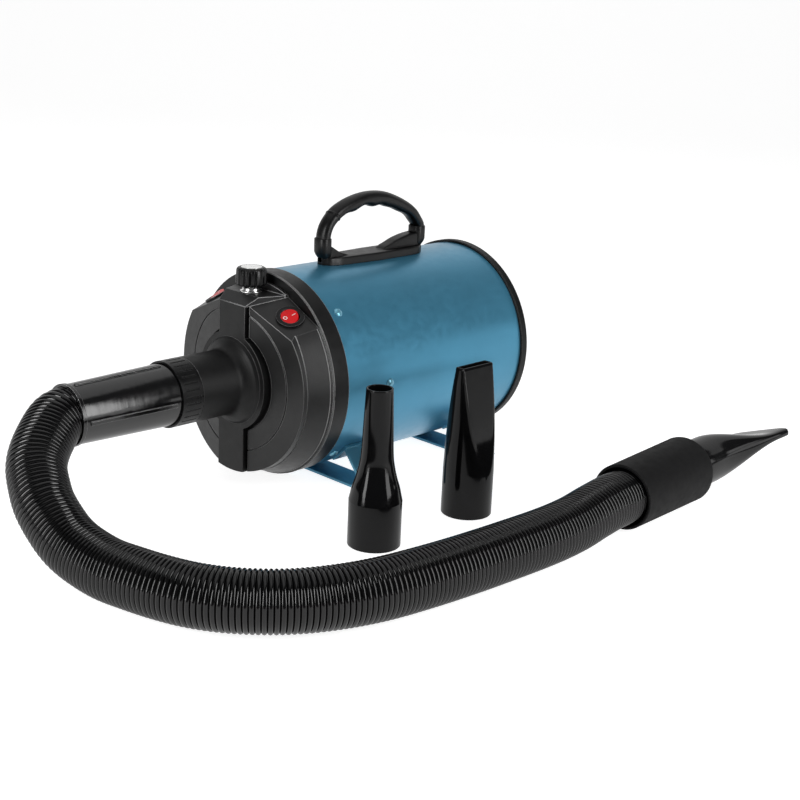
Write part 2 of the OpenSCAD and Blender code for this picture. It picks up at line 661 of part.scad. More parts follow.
module handle_bolts() color("silver") on_axis() for (x = bolt_x) radial(x, 90) {
    translate([0, 0, body_r + base_t - 2]) cylinder(r1 = head_r, r2 = head_r - 1, h = 1.8);
    translate([0, 0, shell_ri - 6]) cylinder(r = shank_r, h = body_wall + base_t + 4.5);
    difference() {
        translate([0, 0, shell_ri - 3.2]) cylinder(r = 4, h = 3, $fn = 6);
        translate([0, 0, shell_ri - 4]) cylinder(r = shank_r + 0.05, h = 6);
    }
}

// ---------------------------------------------------------------- stands
module stand(x) {
    top = (body_r - 3) * [cos(leg_angle), -sin(leg_angle)];
    low = [stand_half, -axis_h];
    u = unit(top - low);
    in = strap_t * [-u[1], u[0]];
    difference() {
        union() {
            translate([x - strap_w / 2, 0, 0]) rotate([90, 0, 90]) linear_extrude(strap_w) union() {
                translate([-stand_half + 1, -axis_h]) square([2 * stand_half - 2, strap_t]);
                for (s = [-1, 1]) scale([s, 1]) polygon([low, top, top + in, low + [-strap_t / u[1], 0]]);
            }
            intersection() {
                rod(body_r + 0.2 + strap_t, x - strap_w / 2, x + strap_w / 2);
                translate([x - strap_w, 0, 0]) rotate([90, 0, 90]) linear_extrude(2 * strap_w)
                    for (s = [-1, 1]) scale([s, 1]) polygon([for (q = [[60, -leg_angle - 14],
                        [110, -leg_angle - 14], [110, -leg_angle + 0.6], [60, -leg_angle + 0.6]])
                        q[0] * [cos(q[1]), sin(q[1])]]);
            }
        }
        rod(body_r + 0.2, -20, body_l + 20);
        for (s = [-1, 1]) radial(x, -90 + s * (90 - leg_angle - 8))
            cylinder(r = shank_r + fit, h = body_r + 5);
    }
}
module stand_front() color("steelblue") on_axis() stand(foot_x);
module stand_rear() color("steelblue") on_axis() stand(foot_x + foot_gap);
// Domed head, shank and formed tail of a rivet whose head sits at radius r
module rivet(r, grip) {
    translate([0, 0, r]) cylinder(r1 = head_r, r2 = head_r - 1, h = 1.2);
    translate([0, 0, r + 1.2]) cylinder(r1 = head_r - 1, r2 = 1.2, h = 0.9);
    translate([0, 0, r - grip]) cylinder(r = shank_r, h = grip + 1);
}
module stand_rivets() color("steelblue") on_axis()
    for (x = [foot_x, foot_x + foot_gap], s = [-1, 1]) radial(x, -90 + s * (90 - leg_angle - 8)) {
        rivet(body_r + 0.2 + strap_t, strap_t + body_wall + 1.5);
        translate([0, 0, shell_ri - 1.6]) cylinder(r = shank_r + 1.2, h = 1.5);
    }
module ring_screws() color("steelblue") on_axis()
    for (a = [45:90:315]) radial(screw_x, a) rivet(body_r, body_wall + ring_wall + 1);
module mount_screws() color("steelblue") on_axis()
    for (a = [0, 180]) radial(side_screw_x, a) rivet(body_r, body_wall + 5);

// ---------------------------------------------------------------- fan and motor
module motor_gasket() color("#404044") on_axis() ring(inlet_r + 10, inlet_r, gasket_x, bulkhead_x);
module rubber_mount() color("#404044") on_axis() ring(2 * shaft_r + 16, 2 * shaft_r + 10, mount_x, nose_in);
module motor_bracket() color("#b8bcc0") on_axis() difference() {
    union() {
        ring(shell_ri - 0.1, loom_r + 2.8, ring_x, ring_x + 14);
        rod(2 * shaft_r + 18, bracket_x + 2, mount_x);
        for (a = [45, 135]) rotate([a, 0, 0])
            translate([bracket_x + 2, -shell_ri + 2, -6]) cube([4, 2 * shell_ri - 4, 12]);
    }
    rod(2 * shaft_r + 7, bracket_x - 5, mount_x + 5);
    for (a = [0, 180]) radial(side_screw_x, a) cylinder(r = shank_r + 0.05, h = body_r);
    // pockets where the ring passes a rivet's tail or a handle bolt's nut
    for (s = [-1, 1]) radial(foot_x, -90 + s * (90 - leg_angle - 8)) cylinder(r = shank_r + 2, h = body_r);
    for (x = bolt_x) radial(x, 90) cylinder(r = 5, h = body_r);
}
module fan_housing() color("#c4c8cc") on_axis() difference() {
    turned([[inlet_r, fan_x2], [fan_r, fan_x2], [fan_r, fan_x1], [fan_r - 1.5, fan_x1],
        [fan_r - 1.5, fan_x2 - 1.5], [inlet_r, fan_x2 - 1.5]]);
}
module motor_frame() color("#a9adb2") on_axis() difference() {
    union() {
        ring(fan_r - 1.6, bearing_r + 0.02, fan_x1, fan_x1 + plate_t);
        ring(frame_r, frame_r - 3, cage_x1, fan_x1 + 1);
        ring(frame_r, bearing_r + 3, cage_x1, cage_x1 + 3);
        ring(bearing_r + 3.2, bearing_r + 0.02, nose_in, cage_x1 + 3);
        ring(bearing_r + 3.2, bearing_r + 0.02, fan_x1 - 7, fan_x1 + 1);
    }
    for (a = [0:60:300]) rotate([a, 0, 0]) {
        translate([fan_x1 - 1, 0, frame_r + 7]) rod(4.5, 0, plate_t + 2);
        translate([cage_x1 - 1, 0, 22]) rod(5, 0, 6);
    }
    for (a = [45, 135, 225, 315]) rotate([a, 0, 0])
        translate([fan_x1 - 10, -10, frame_r - 10]) cube([7, 20, 20]);
}
module stator_core() color("#7d8187") on_axis() difference() {
    ring(stator_ro, stator_ri, stator_x, stator_x + stator_l);
    for (a = [0, 180]) rotate([a, 0, 0])
        translate([stator_x - 1, -coil_w, coil_z1]) cube([stator_l + 2, 2 * coil_w, coil_z2 - coil_z1]);
}
module field_coils() color("#b5622d") on_axis() for (a = [0, 180]) rotate([a, 0, 0])
    translate([stator_x - 5, 2 * fit - coil_w, coil_z1 + 2 * fit])
        cube([stator_l + 10, 2 * coil_w - 4 * fit, coil_z2 - coil_z1 - 4 * fit]);
module bearing_front() color("silver") on_axis() ring(bearing_r, shaft_r + run, nose_in, nose_in + 7);
module bearing_rear() color("silver") on_axis()
    ring(bearing_r, shaft_r + run, fan_x1 - 4, fan_x1 + plate_t);
module brush_holders() color("#c9a24a") on_axis() for (a = [0, 180]) radial(cage_x1 + 8.7, a)
    difference() {
        translate([-5, -5, commutator_r + 2]) cube([10, 10, frame_r - 3.7 - commutator_r - 2]);
        translate([-3.1, -3.1, commutator_r]) cube([6.2, 6.2, 24]);
    }
module carbon_brushes() color("#2e2e30") on_axis() for (a = [0, 180]) radial(cage_x1 + 8.7, a)
    translate([-3, -3, commutator_r + free]) cube([6, 6, 20]);
module fan_diffuser() color("#b4b8bc") on_axis() union() {
    ring(fan_r - 1.6, 12, diff_x, diff_x + 1.2);
    ring(fan_r - 1.6, fan_r - 3, diff_x, diff_x + 8);
    for (i = [0:11]) rotate([30 * i, 0, 0])
        translate([diff_x + 1, -0.6, 22]) cube([7, 1.2, fan_r - 24.5]);
}
module motor_shaft() color("silver") on_axis() rod(shaft_r, nose_in + 0.5, fan_x2 - 2);
module armature() color("#8a5a3a") on_axis() difference() {
    ring(armature_r, shaft_r + 0.02, stator_x + 2, stator_x + stator_l - 2);
    for (i = [0:11]) rotate([30 * i, 0, 0])
        translate([stator_x, -1, armature_r - 5]) cube([stator_l, 2, 8]);
}
module commutator() color("#b87333") on_axis() difference() {
    ring(commutator_r, shaft_r + 0.02, cage_x1 + 3.8, stator_x - 1.2);
    for (i = [0:23]) rotate([15 * i, 0, 0])
        translate([cage_x1, -0.3, commutator_r - 0.6]) cube([20, 0.6, 3]);
}
module impeller(x) {
    ring(impeller_r, shaft_r + 0.02, x, x + 1);
    ring(impeller_r, 20, x + 9, x + 10);
    ring(9, shaft_r + 0.02, x, x + 10);
    for (i = [0:vanes - 1]) rotate([360 * i / vanes, 0, 0]) translate([x + 0.5, 0, 0])
        rotate([0, 0, 0]) translate([0, 8, 19]) rotate([20, 0, 0]) cube([9, 1.2, impeller_r - 23]);
}
module impeller_rear() color("#d5d8da") on_axis() impeller(diff_x + 13);
module impeller_front() color("#d5d8da") on_axis() impeller(fan_x1 + 9);
module shaft_nut() color("silver") on_axis() difference() {
    translate([diff_x + 23.1, 0, 0]) rotate([0, 90, 0]) cylinder(r = 7, h = 2.2, $fn = 6);
    rod(shaft_r + 0.02, diff_x, fan_x2 + 5);
}
module foam_lining() color("#54575c") on_axis() difference() {
    ring(shell_ri - 0.2, shell_ri - 5.2, ring_x + 15, foot_x + foot_gap - strap_w / 2);
    for (x = bolt_x) radial(x, 90) cylinder(r = 7, h = body_r);
}
module wire_loom() color("#1a1a1c") on_axis() union() {
    rotate([loom_a, 0, 0]) translate([0, loom_r, 0]) rod(2.4, cover_x + 4, gland_x + 2.4);
    radial(gland_x, loom_a) translate([0, 0, loom_r]) cylinder(r = 2.4, h = shell_ri - 3.5 - loom_r);
}

// ---------------------------------------------------------------- heater and board
module heater_tube() color("#c8b48a") on_axis() ring(heater_r, heater_r - 1, recess_x + 0.5, heat_x2);
module heater_former() color("#d6c9a4") on_axis() difference() {
    for (a = [0, 90]) rotate([a, 0, 0])
        translate([recess_x + 3, -heater_r + 1.2, -0.6]) cube([heater_l - 6, 2 * heater_r - 2.4, 1.2]);
    for (i = [0:heater_rings_n - 1]) translate([recess_x + 9 + 8 * i, 0, 0]) rotate([0, 90, 0])
        rotate_extrude() translate([heater_r - 6.2, 0]) circle(r = 1.3, $fn = 32);
}
module heater_rings() color("#b08a50") on_axis()
    for (i = [0:heater_rings_n - 1]) translate([recess_x + 9 + 8 * i, 0, 0]) rotate([0, 90, 0])
        rotate_extrude() translate([heater_r - 6.2, 0]) circle(r = 1.1, $fn = 32);
module thermostat() color("#d9d4c6") on_axis()
    translate([heat_x2 - 16, 0, heater_r + 0.2]) cylinder(r = 6, h = 5);
module control_board() color("#2f6b46") on_axis() union() {
    translate([cover_in_x + 1, -27, 42]) cube([32, 54, 1.6]);
    translate([-40, 8, 43.6]) cube([14, 12, 9]);
    translate([-40, -20, 43.6]) cube([10, 10, 5]);
    translate([-24, -6, 43.6]) cube([10, 12, 7]);
}

// ---------------------------------------------------------------- hose
hose_path = [[-222, 0, 91], [-235, 0, 91], [-249, 0, 91], [-259, -3.5, 89], [-271, -11, 83],
    [-284, -21, 75], [-293, -31, 67], [-299, -44, 58], [-303.5, -57, 50], [-305, -70, 42],
    [-305.5, -87, 33], [-304, -104, 27], [-301, -130, 23], [-297, -155, 23], [-290, -183, 23],
    [-280, -208, 23], [-264, -231, 23], [-241, -252, 23], [-214, -267, 23], [-181, -278, 23],
    [-143, -284, 23], [-98, -288, 23], [-51, -290, 23], [-10, -290.5, 23], [22, -289.5, 24],
    [48, -288, 26.8], [72, -286.3, 28.6], [90, -285, 28.6], [129.6, -282, 28.6]];
hose_fine = curve(hose_path, 8);
function run_len(p, i = 0, s = 0, acc = []) = i == len(p) ? acc :
    let (t = i == 0 ? 0 : s + norm(p[i] - p[i - 1])) run_len(p, i + 1, t, concat(acc, [[t, i]]));
hose_s = run_len(hose_fine);
hose_len = hose_s[len(hose_s) - 1][0];
hose_tab = [for (k = [0:2]) [for (i = [0:len(hose_fine) - 1]) [hose_s[i][0], hose_fine[i][k]]]];
function hose_at(s) = [for (k = [0:2]) lookup(s, hose_tab[k])];
function hose_dir(s) = unit(hose_at(min(hose_len, s + 3)) - hose_at(max(0, s - 3)));
function hose_ring(s, r) = let (c = hose_at(s), t = hose_dir(s), a = unit(cross(t, [0, 0, 1])),
    b = cross(a, t)) [for (j = [0:7]) c + r * (cos(45 * j) * a + sin(45 * j) * b)];
module hose() color("#1a1a1c") {
    pitch = hose_len / ribs;
    bores = 60;
    out = [for (i = [0:ribs - 1]) each concat(
        hose_ring((i + (i == 0 ? 0 : 0.25)) * pitch, hose_r - rib_d),
        hose_ring((i + (i == ribs - 1 ? 1 : 0.75)) * pitch, hose_r))];
    inn = [for (i = [0:bores]) each hose_ring(hose_len * i / bores, hose_bore)];
    o = 16 * ribs;
    e = 8 * (bores + 1);
    first = [for (j = [0:7], k = [0, 1]) let (a = j, b = (j + 1) % 8) k == 0 ? [a, o + a, b] : [b, o + a, o + b]];
    last = [for (j = [0:7], k = [0, 1]) let (a = o - 8 + j, b = o - 8 + (j + 1) % 8,
        c = o + e - 8 + j, d = o + e - 8 + (j + 1) % 8) k == 0 ? [a, b, c] : [b, d, c]];
    polyhedron(concat(out, inn), concat(skin(2 * ribs, 8, 0, false), skin(bores + 1, 8, o, true),
        first, last), convexity = 6);
}
module hose_sleeve() color("#232325") at_sleeve() turned([[sleeve_bore + 0.8, 0], [sleeve_r1 - 0.8, 0],
    [sleeve_r1, 0.8], [sleeve_r2, sleeve_l - 3], [sleeve_r2 - 1.5, sleeve_l], [socket_r, sleeve_l],
    [socket_r, hose_in + free], [sleeve_bore, hose_in + free], [sleeve_bore, 0.8]]);

// ---------------------------------------------------------------- nozzles
// Loft of the wide nozzle from its round base to the flat mouth, d is the wall to take off
module wide_loft(x1, x2, d, k = 16, m = 48) {
    pts = [for (i = [0:k]) let (t = i / k, x = x1 + (x2 - x1) * t)
        for (q = ellipse(nozzle_r - d + (wide_half - nozzle_r) * smooth(t),
            wide_t - d + (nozzle_r - wide_t) * (1 - smooth(t / 0.78)), m, 2 + 3 * smooth(t)))
            [x, q[0], q[1]]];
    polyhedron(pts, concat(skin(k + 1, m, 0, true), fan(m, 0), fan(m, k * m, true)), convexity = 4);
}
module end_nozzle() color("#161618") at_sleeve() rotate([wide_roll, 0, 0]) union() {
    ring(nozzle_r, nozzle_r - nozzle_wall, sleeve_l - base_in, sleeve_l + 6);
    difference() {
        wide_loft(sleeve_l + 4, sleeve_l - base_in + wide_l, 0.05);
        wide_loft(sleeve_l + 3.9, sleeve_l - base_in + wide_l + 0.1, nozzle_wall - 0.05);
    }
}
neck = [[1, 37], [0.91, 41.5], [0.74, 48], [0.53, 53.5], [0.36, 59], [0.22, 64.5], [0.11, 70.5],
    [0.03, 80]];
function round_prof(d) = concat([for (q = neck)
    [mouth_r + 1.6 - d + (nozzle_r - mouth_r - 1.6) * q[0], q[1] * nozzle_h / 127]],
    [[mouth_r + 1.4 - d, nozzle_h * 0.73], [mouth_r - d, nozzle_h]]);
module round_nozzle() color("#161618") translate([round_xy[0], round_xy[1], 0]) rotate_extrude()
    polygon(concat([[nozzle_r - nozzle_wall, 0], [nozzle_r, 0]], round_prof(0),
        [for (i = [len(neck) + 1:-1:0]) round_prof(nozzle_wall)[i]]));
module flat_nozzle() color("#161618") translate([flat_xy[0], flat_xy[1], 0]) difference() {
    intersection() {
        cylinder(r = nozzle_r, h = nozzle_h);
        rotate([90, 0, 90]) translate([0, 0, -30]) linear_extrude(60) polygon([[-nozzle_r - 1, 0],
            [nozzle_r + 1, 0], [nozzle_r + 1, 37], [nozzle_r, 38], [slot_half, nozzle_h],
            [-slot_half, nozzle_h], [-nozzle_r, 38], [-nozzle_r - 1, 37]]);
    }
    intersection() {
        translate([0, 0, -1]) cylinder(r = nozzle_r - nozzle_wall, h = nozzle_h + 2);
        rotate([90, 0, 90]) translate([0, 0, -30]) linear_extrude(60) polygon([[-nozzle_r, -2],
            [nozzle_r, -2], [nozzle_r - nozzle_wall, 38], [slot_half - nozzle_wall, nozzle_h + 2],
            [nozzle_wall - slot_half, nozzle_h + 2], [nozzle_wall - nozzle_r, 38]]);
    }
}

shell();
head_ring();
head_cover();
front_panel();
rear_rim();
handle_base();
handle_grip();
handle_bolts();
stand_front();
stand_rear();
stand_rivets();
ring_screws();
mount_screws();
knob_nut();
potentiometer();
rocker_case_near();
rocker_case_far();
cord_gland();
rear_bulkhead();
motor_gasket();
rubber_mount();
motor_bracket();
fan_housing();
fan_diffuser();
motor_frame();
stator_core();
field_coils();
bearing_front();
bearing_rear();
brush_holders();
carbon_brushes();
heater_tube();
heater_former();
heater_rings();
thermostat();
control_board();
foam_lining();
wire_loom();
hose_cuff();
hose();
hose_sleeve();
filter_sponge();
motor_shaft();
armature();
commutator();
impeller_rear();
impeller_front();
shaft_nut();
speed_knob();
knob_cap();
pot_shaft();
rocker_near();
rocker_far();
intake_grille();
hose_collar();
end_nozzle();
round_nozzle();
flat_nozzle();
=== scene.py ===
import math

import bpy
import numpy as np
from mathutils import Matrix, Vector


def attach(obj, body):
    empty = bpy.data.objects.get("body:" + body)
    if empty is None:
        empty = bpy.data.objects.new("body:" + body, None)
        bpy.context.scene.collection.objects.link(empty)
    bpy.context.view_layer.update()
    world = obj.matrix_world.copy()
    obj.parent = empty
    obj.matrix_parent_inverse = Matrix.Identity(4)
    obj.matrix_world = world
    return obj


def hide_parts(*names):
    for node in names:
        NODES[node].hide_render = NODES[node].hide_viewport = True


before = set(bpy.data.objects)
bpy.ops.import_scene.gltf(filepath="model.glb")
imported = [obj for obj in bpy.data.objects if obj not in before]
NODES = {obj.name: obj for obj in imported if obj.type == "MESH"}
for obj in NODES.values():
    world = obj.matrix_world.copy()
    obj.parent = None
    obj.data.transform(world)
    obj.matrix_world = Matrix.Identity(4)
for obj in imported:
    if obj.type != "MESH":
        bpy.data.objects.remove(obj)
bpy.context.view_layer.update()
MM = 0.001
FULL_TURN = 2 * math.pi
AX = np.array([-31.0, 0.0, 91.0])      # front end of the tube's axis in the part's frame, mm
TUBE_R = 87.5                          # outer radius of the tube, mm


# ------------------------------------------------------------------ camera
AZIMUTH, ELEVATION, ROLL = (math.radians(a) for a in (-45.9, 17.1, 2.6))
CAMERA_AIM = Vector((121.5, 0, 34.5))  # the point in the middle of the picture, mm
CAMERA_AWAY = 1412.4                   # the camera's distance from it, mm
FOCAL, PICTURE = 1484.7, 800           # focal length and picture width, pixels
SENSOR = 36                            # mm
CLIP_NEAR, CLIP_FAR = 0.05, 60         # metres


def make_camera():
    """The camera fitted to the photograph."""
    level = math.cos(ELEVATION)
    back = Vector((math.sin(AZIMUTH) * level, -math.cos(AZIMUTH) * level, math.sin(ELEVATION)))
    right = Vector((math.cos(AZIMUTH), math.sin(AZIMUTH), 0))
    up = back.cross(right)
    rolled_right = right * math.cos(ROLL) + up * math.sin(ROLL)
    rolled_up = up * math.cos(ROLL) - right * math.sin(ROLL)
    m = Matrix((rolled_right, rolled_up, back)).transposed().to_4x4()
    m.translation = (CAMERA_AIM + back * CAMERA_AWAY) * MM
    cam = bpy.data.objects.new("camera", bpy.data.cameras.new("camera"))
    bpy.context.scene.collection.objects.link(cam)
    cam.matrix_world = m
    cam.data.sensor_width = SENSOR
    cam.data.lens = FOCAL * SENSOR / PICTURE
    cam.data.clip_start, cam.data.clip_end = CLIP_NEAR, CLIP_FAR
    bpy.context.scene.camera = cam


make_camera()


# ------------------------------------------------------------------ places
def shift(*v):
    """A 4x4 matrix that moves by v."""
    m = np.eye(4)
    m[:3, 3] = v
    return m


def rot(axis, deg):
    """A 4x4 matrix that turns about the X, Y or Z axis."""
    return np.array(Matrix.Rotation(math.radians(deg), 4, axis))


def outward(origin, z):
    """A 4x4 matrix at origin whose z axis is z, for a z that is square to the x axis."""
    z = np.array(z, float) / np.linalg.norm(z)
    x = np.array([1.0, 0, 0])
    m = np.eye(4)
    m[:3, 0], m[:3, 1], m[:3, 2], m[:3, 3] = x, np.cross(z, x), z, origin
    return m


def placed(points, m):
    """Points moved by the 4x4 matrix m."""
    return points @ m[:3, :3].T + m[:3, 3]


# ------------------------------------------------------------------ outlines
STRAIGHT = math.radians(86)            # a corner whose half angle is larger counts as straight
CORNER_SHARE = 0.42                    # how much of a side a rounded corner may take up
TINY = 1e-6


def arc_corner(p, a, b, r, k):
    """Points of a rounded corner at p between the neighbours a and b."""
    u, v = a - p, b - p
    lu, lv = np.linalg.norm(u), np.linalg.norm(v)
    if lu < TINY or lv < TINY:
        return [p]
    u, v = u / lu, v / lv
    half = math.acos(float(np.clip(u @ v, -1, 1))) / 2
    if half > STRAIGHT:
        return [p]
    d = min(r / math.tan(half), CORNER_SHARE * lu, CORNER_SHARE * lv)
    s, e = p + u * d, p + v * d
    return [(1 - t) ** 2 * s + 2 * t * (1 - t) * p + t * t * e for t in np.linspace(0, 1, k)]


def rounded(pts, k=5):
    """A closed outline with its corners rounded: the third number in a point is that corner's radius."""
    q = [np.array(p[:2], float) for p in pts]
    out = []
    for i, (_, _, r) in enumerate(pts):
        out += arc_corner(q[i], q[i - 1], q[(i + 1) % len(q)], r, k) if r > 0 else [q[i]]
    return np.array(out)


def curve(p, k):
    """Catmull-Rom points through p, k to each span."""
    p = np.asarray(p, float)
    n = len(p) - 1
    out = []
    for i in range(n):
        a, b, c, d = p[max(0, i - 1)], p[i], p[i + 1], p[min(n, i + 2)]
        for t in np.arange(k) / k:
            out.append(0.5 * (2 * b + (c - a) * t + (2 * a - 5 * b + 4 * c - d) * t * t
                              + (3 * b - a - 3 * c + d) * t ** 3))
    return np.array(out + [p[n]])


def smooth(t):
    """0 to 1 with a soft start and end."""
    return 0.5 - 0.5 * np.cos(np.pi * np.clip(t, 0, 1))


def around(n):
    """n equal angles of a full turn."""
    return np.linspace(0, FULL_TURN, n, endpoint=False)


def superellipse(a, b, e, th):
    """Points at the angles th of an ellipse with half widths a and b; e over 2 makes it squarer."""
    c, s = np.cos(th), np.sin(th)
    return np.stack([a * np.sign(c) * np.abs(c) ** (2 / e), b * np.sign(s) * np.abs(s) ** (2 / e)], -1)


# ------------------------------------------------------------------ meshes
def piece(name, verts, faces, body, mat, slot, node=None, sharp=35):
    """A mesh from points in mm, in the part's frame."""
    me = bpy.data.meshes.new(name)
    me.from_pydata((np.asarray(verts, float) * MM).tolist(), [], faces)
    me.validate()
    me.polygons.foreach_set("use_smooth", [True] * len(me.polygons))
    me.set_sharp_from_angle(angle=math.radians(sharp))
    o = bpy.data.objects.new(name, me)
    bpy.context.scene.collection.objects.link(o)
    me.materials.append(mat)
    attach(o, body)
    if node:
        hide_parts(node)
    return o


def skin(rings, n, closed=False, start=0):
    """Quads that join rings of n points, ring after ring, and the last to the first if closed."""
    out = []
    for i in range(rings if closed else rings - 1):
        a, b = start + i * n, start + ((i + 1) % rings) * n
        out += [(a + j, a + (j + 1) % n, b + (j + 1) % n, b + j) for j in range(n)]
    return out


def capped(rings, n, start=0):
    """Faces of a bar of rings of n points, with a cap at each end."""
    last = start + (rings - 1) * n
    return skin(rings, n, start=start) + [tuple(range(start, start + n))[::-1], tuple(range(last, last + n))]


def flipped(faces):
    """The same faces seen from their other side."""
    return [f[::-1] for f in faces]


def turned(prof, seg):
    """Points of an outline of (radius, height) turned about the z axis."""
    t = around(seg)
    return np.stack([np.outer(prof[:, 0], np.cos(t)), np.outer(prof[:, 0], np.sin(t)),
                     np.repeat(prof[:, 1:2], seg, 1)], -1).reshape(-1, 3)


def lathe(name, prof, place, body, seg=96, **kw):
    """A closed outline of (radius, height) turned about the local z axis of the 4x4 matrix place, in mm."""
    faces = flipped(skin(len(prof), seg, True))
    return piece(name, placed(turned(prof, seg), place), faces, body, **kw)


# ------------------------------------------------------------------ shader nodes
NOISE_MIDDLE = (0.3, 0.7)              # where nearly all values of a noise texture lie
HIGHLIGHT_REACH = (0.99, 0.86)              # bevelled times true normal where the painted edge highlight starts and where it is full
HIGHLIGHT_FADE = (("Z", 0.09, 0.15, 0.3, 1),    # painted shade on the edge highlight, fainter low down: axis, from and to in metres, share at each
         ("Y", -0.005, 0.02, 1, 0.15))  # and on the far side
HIGHLIGHT_GAIN = 2.2                        # a painted edge highlight is this much brighter, and pale is added to it
BEVEL_SAMPLES = 6
BAND_WOBBLE = 0.4
DUST_SCALE, DUST_REACH, DUST_GREY = 900, (0.66, 0.8), (0.22, 0.22, 0.22)
GRAZE_REACH = (0.4, 0.9)               # Facing values between which the shine falls off
SMOOTHEST = 0.02                       # no roughness goes under this
ROUGH_OFFSET = (3, 1, 2)               # keeps the roughness from varying with the colour
COLOUR_DETAIL, DUST_DETAIL, FINE_DETAIL, WAVE_DETAIL = 4, 6, 3, 2   # detail of the noise textures


def nodes_of(name):
    """A new material, its node tree and the Principled shader in it."""
    m = bpy.data.materials.new(name)
    m.use_nodes = True
    t = m.node_tree
    t.nodes.clear()
    out = t.nodes.new("ShaderNodeOutputMaterial")
    bsdf = t.nodes.new("ShaderNodeBsdfPrincipled")
    t.links.new(bsdf.outputs[0], out.inputs[0])
    return m, t, bsdf


def object_coord(t):
    return t.nodes.new("ShaderNodeTexCoord").outputs["Object"]


def noise(t, coord, scale, detail, stretch=None, offset=None):
    """A noise texture, on coordinates that may be stretched or moved."""
    n = t.nodes.new("ShaderNodeTexNoise")
    n.inputs["Scale"].default_value = scale
    n.inputs["Detail"].default_value = detail
    if stretch or offset:
        mp = t.nodes.new("ShaderNodeMapping")
        mp.inputs["Scale"].default_value = stretch or (1, 1, 1)
        mp.inputs["Location"].default_value = offset or (0, 0, 0)
        t.links.new(coord, mp.inputs["Vector"])
        coord = mp.outputs["Vector"]
    t.links.new(coord, n.inputs["Vector"])
    return n.outputs["Fac"]


def cell_pattern(t, coord, scale):
    """The open cells of a foam."""
    v = t.nodes.new("ShaderNodeTexVoronoi")
    v.inputs["Scale"].default_value = scale
    t.links.new(coord, v.inputs["Vector"])
    return v.outputs["Distance"]


def band_pattern(t, coord, axis, scale):
    """Fine layers or turns along one axis."""
    w = t.nodes.new("ShaderNodeTexWave")
    w.bands_direction = axis
    w.inputs["Scale"].default_value = scale
    w.inputs["Distortion"].default_value = BAND_WOBBLE
    t.links.new(coord, w.inputs["Vector"])
    return w.outputs["Fac"]


def ranged(t, value, a, b, lo, hi):
    """A value from a to b mapped to lo to hi."""
    r = t.nodes.new("ShaderNodeMapRange")
    for k, v in zip(("From Min", "From Max", "To Min", "To Max"), (a, b, lo, hi)):
        r.inputs[k].default_value = v
    t.links.new(value, r.inputs["Value"])
    return r.outputs["Result"]


def mixed(t, fac, a, b):
    """Colour a or b, each a colour or a node's output, as fac goes from 0 to 1."""
    m = t.nodes.new("ShaderNodeMix")
    m.data_type = "RGBA"
    t.links.new(fac, m.inputs["Factor"])
    for i, c in ((6, a), (7, b)):
        if isinstance(c, tuple):
            m.inputs[i].default_value = (*c, 1)
        else:
            t.links.new(c, m.inputs[i])
    return m.outputs[2]


def combined(t, operation, a, b):
    """The output a and b, an output or a number, put together by a Math node."""
    n = t.nodes.new("ShaderNodeMath")
    n.operation = operation
    t.links.new(a, n.inputs[0])
    if isinstance(b, float):
        n.inputs[1].default_value = b
    else:
        t.links.new(b, n.inputs[1])
    return n.outputs[0]


def bumped(t, height, normal, strength, depth):
    """The normal with a height texture on it, depth in mm."""
    n = t.nodes.new("ShaderNodeBump")
    n.inputs["Strength"].default_value = strength
    n.inputs["Distance"].default_value = depth * MM
    t.links.new(height, n.inputs["Height"])
    t.links.new(normal, n.inputs["Normal"])
    return n.outputs[0]


def painted_edge_highlight(t, coord, bevelled, amount, highlight_fades):
    """How pale each spot is painted as an edge highlight: amount on a sharp edge, 0 on a flat face."""
    geo = t.nodes.new("ShaderNodeNewGeometry")
    dot = t.nodes.new("ShaderNodeVectorMath")
    dot.operation = "DOT_PRODUCT"
    t.links.new(bevelled, dot.inputs[0])
    t.links.new(geo.outputs["Normal"], dot.inputs[1])
    # painted highlight: the further the bevelled normal turns from the true one, the paler
    edge_highlight_share = ranged(t, dot.outputs["Value"], *HIGHLIGHT_REACH, 0, amount)
    # painted shade: the edge highlight is fainter low down and on the far side
    if highlight_fades:
        axes = t.nodes.new("ShaderNodeSeparateXYZ")
        t.links.new(coord, axes.inputs[0])
        for axis, *reach in HIGHLIGHT_FADE:
            edge_highlight_share = combined(t, "MULTIPLY", edge_highlight_share, ranged(t, axes.outputs[axis], *reach))
    return edge_highlight_share


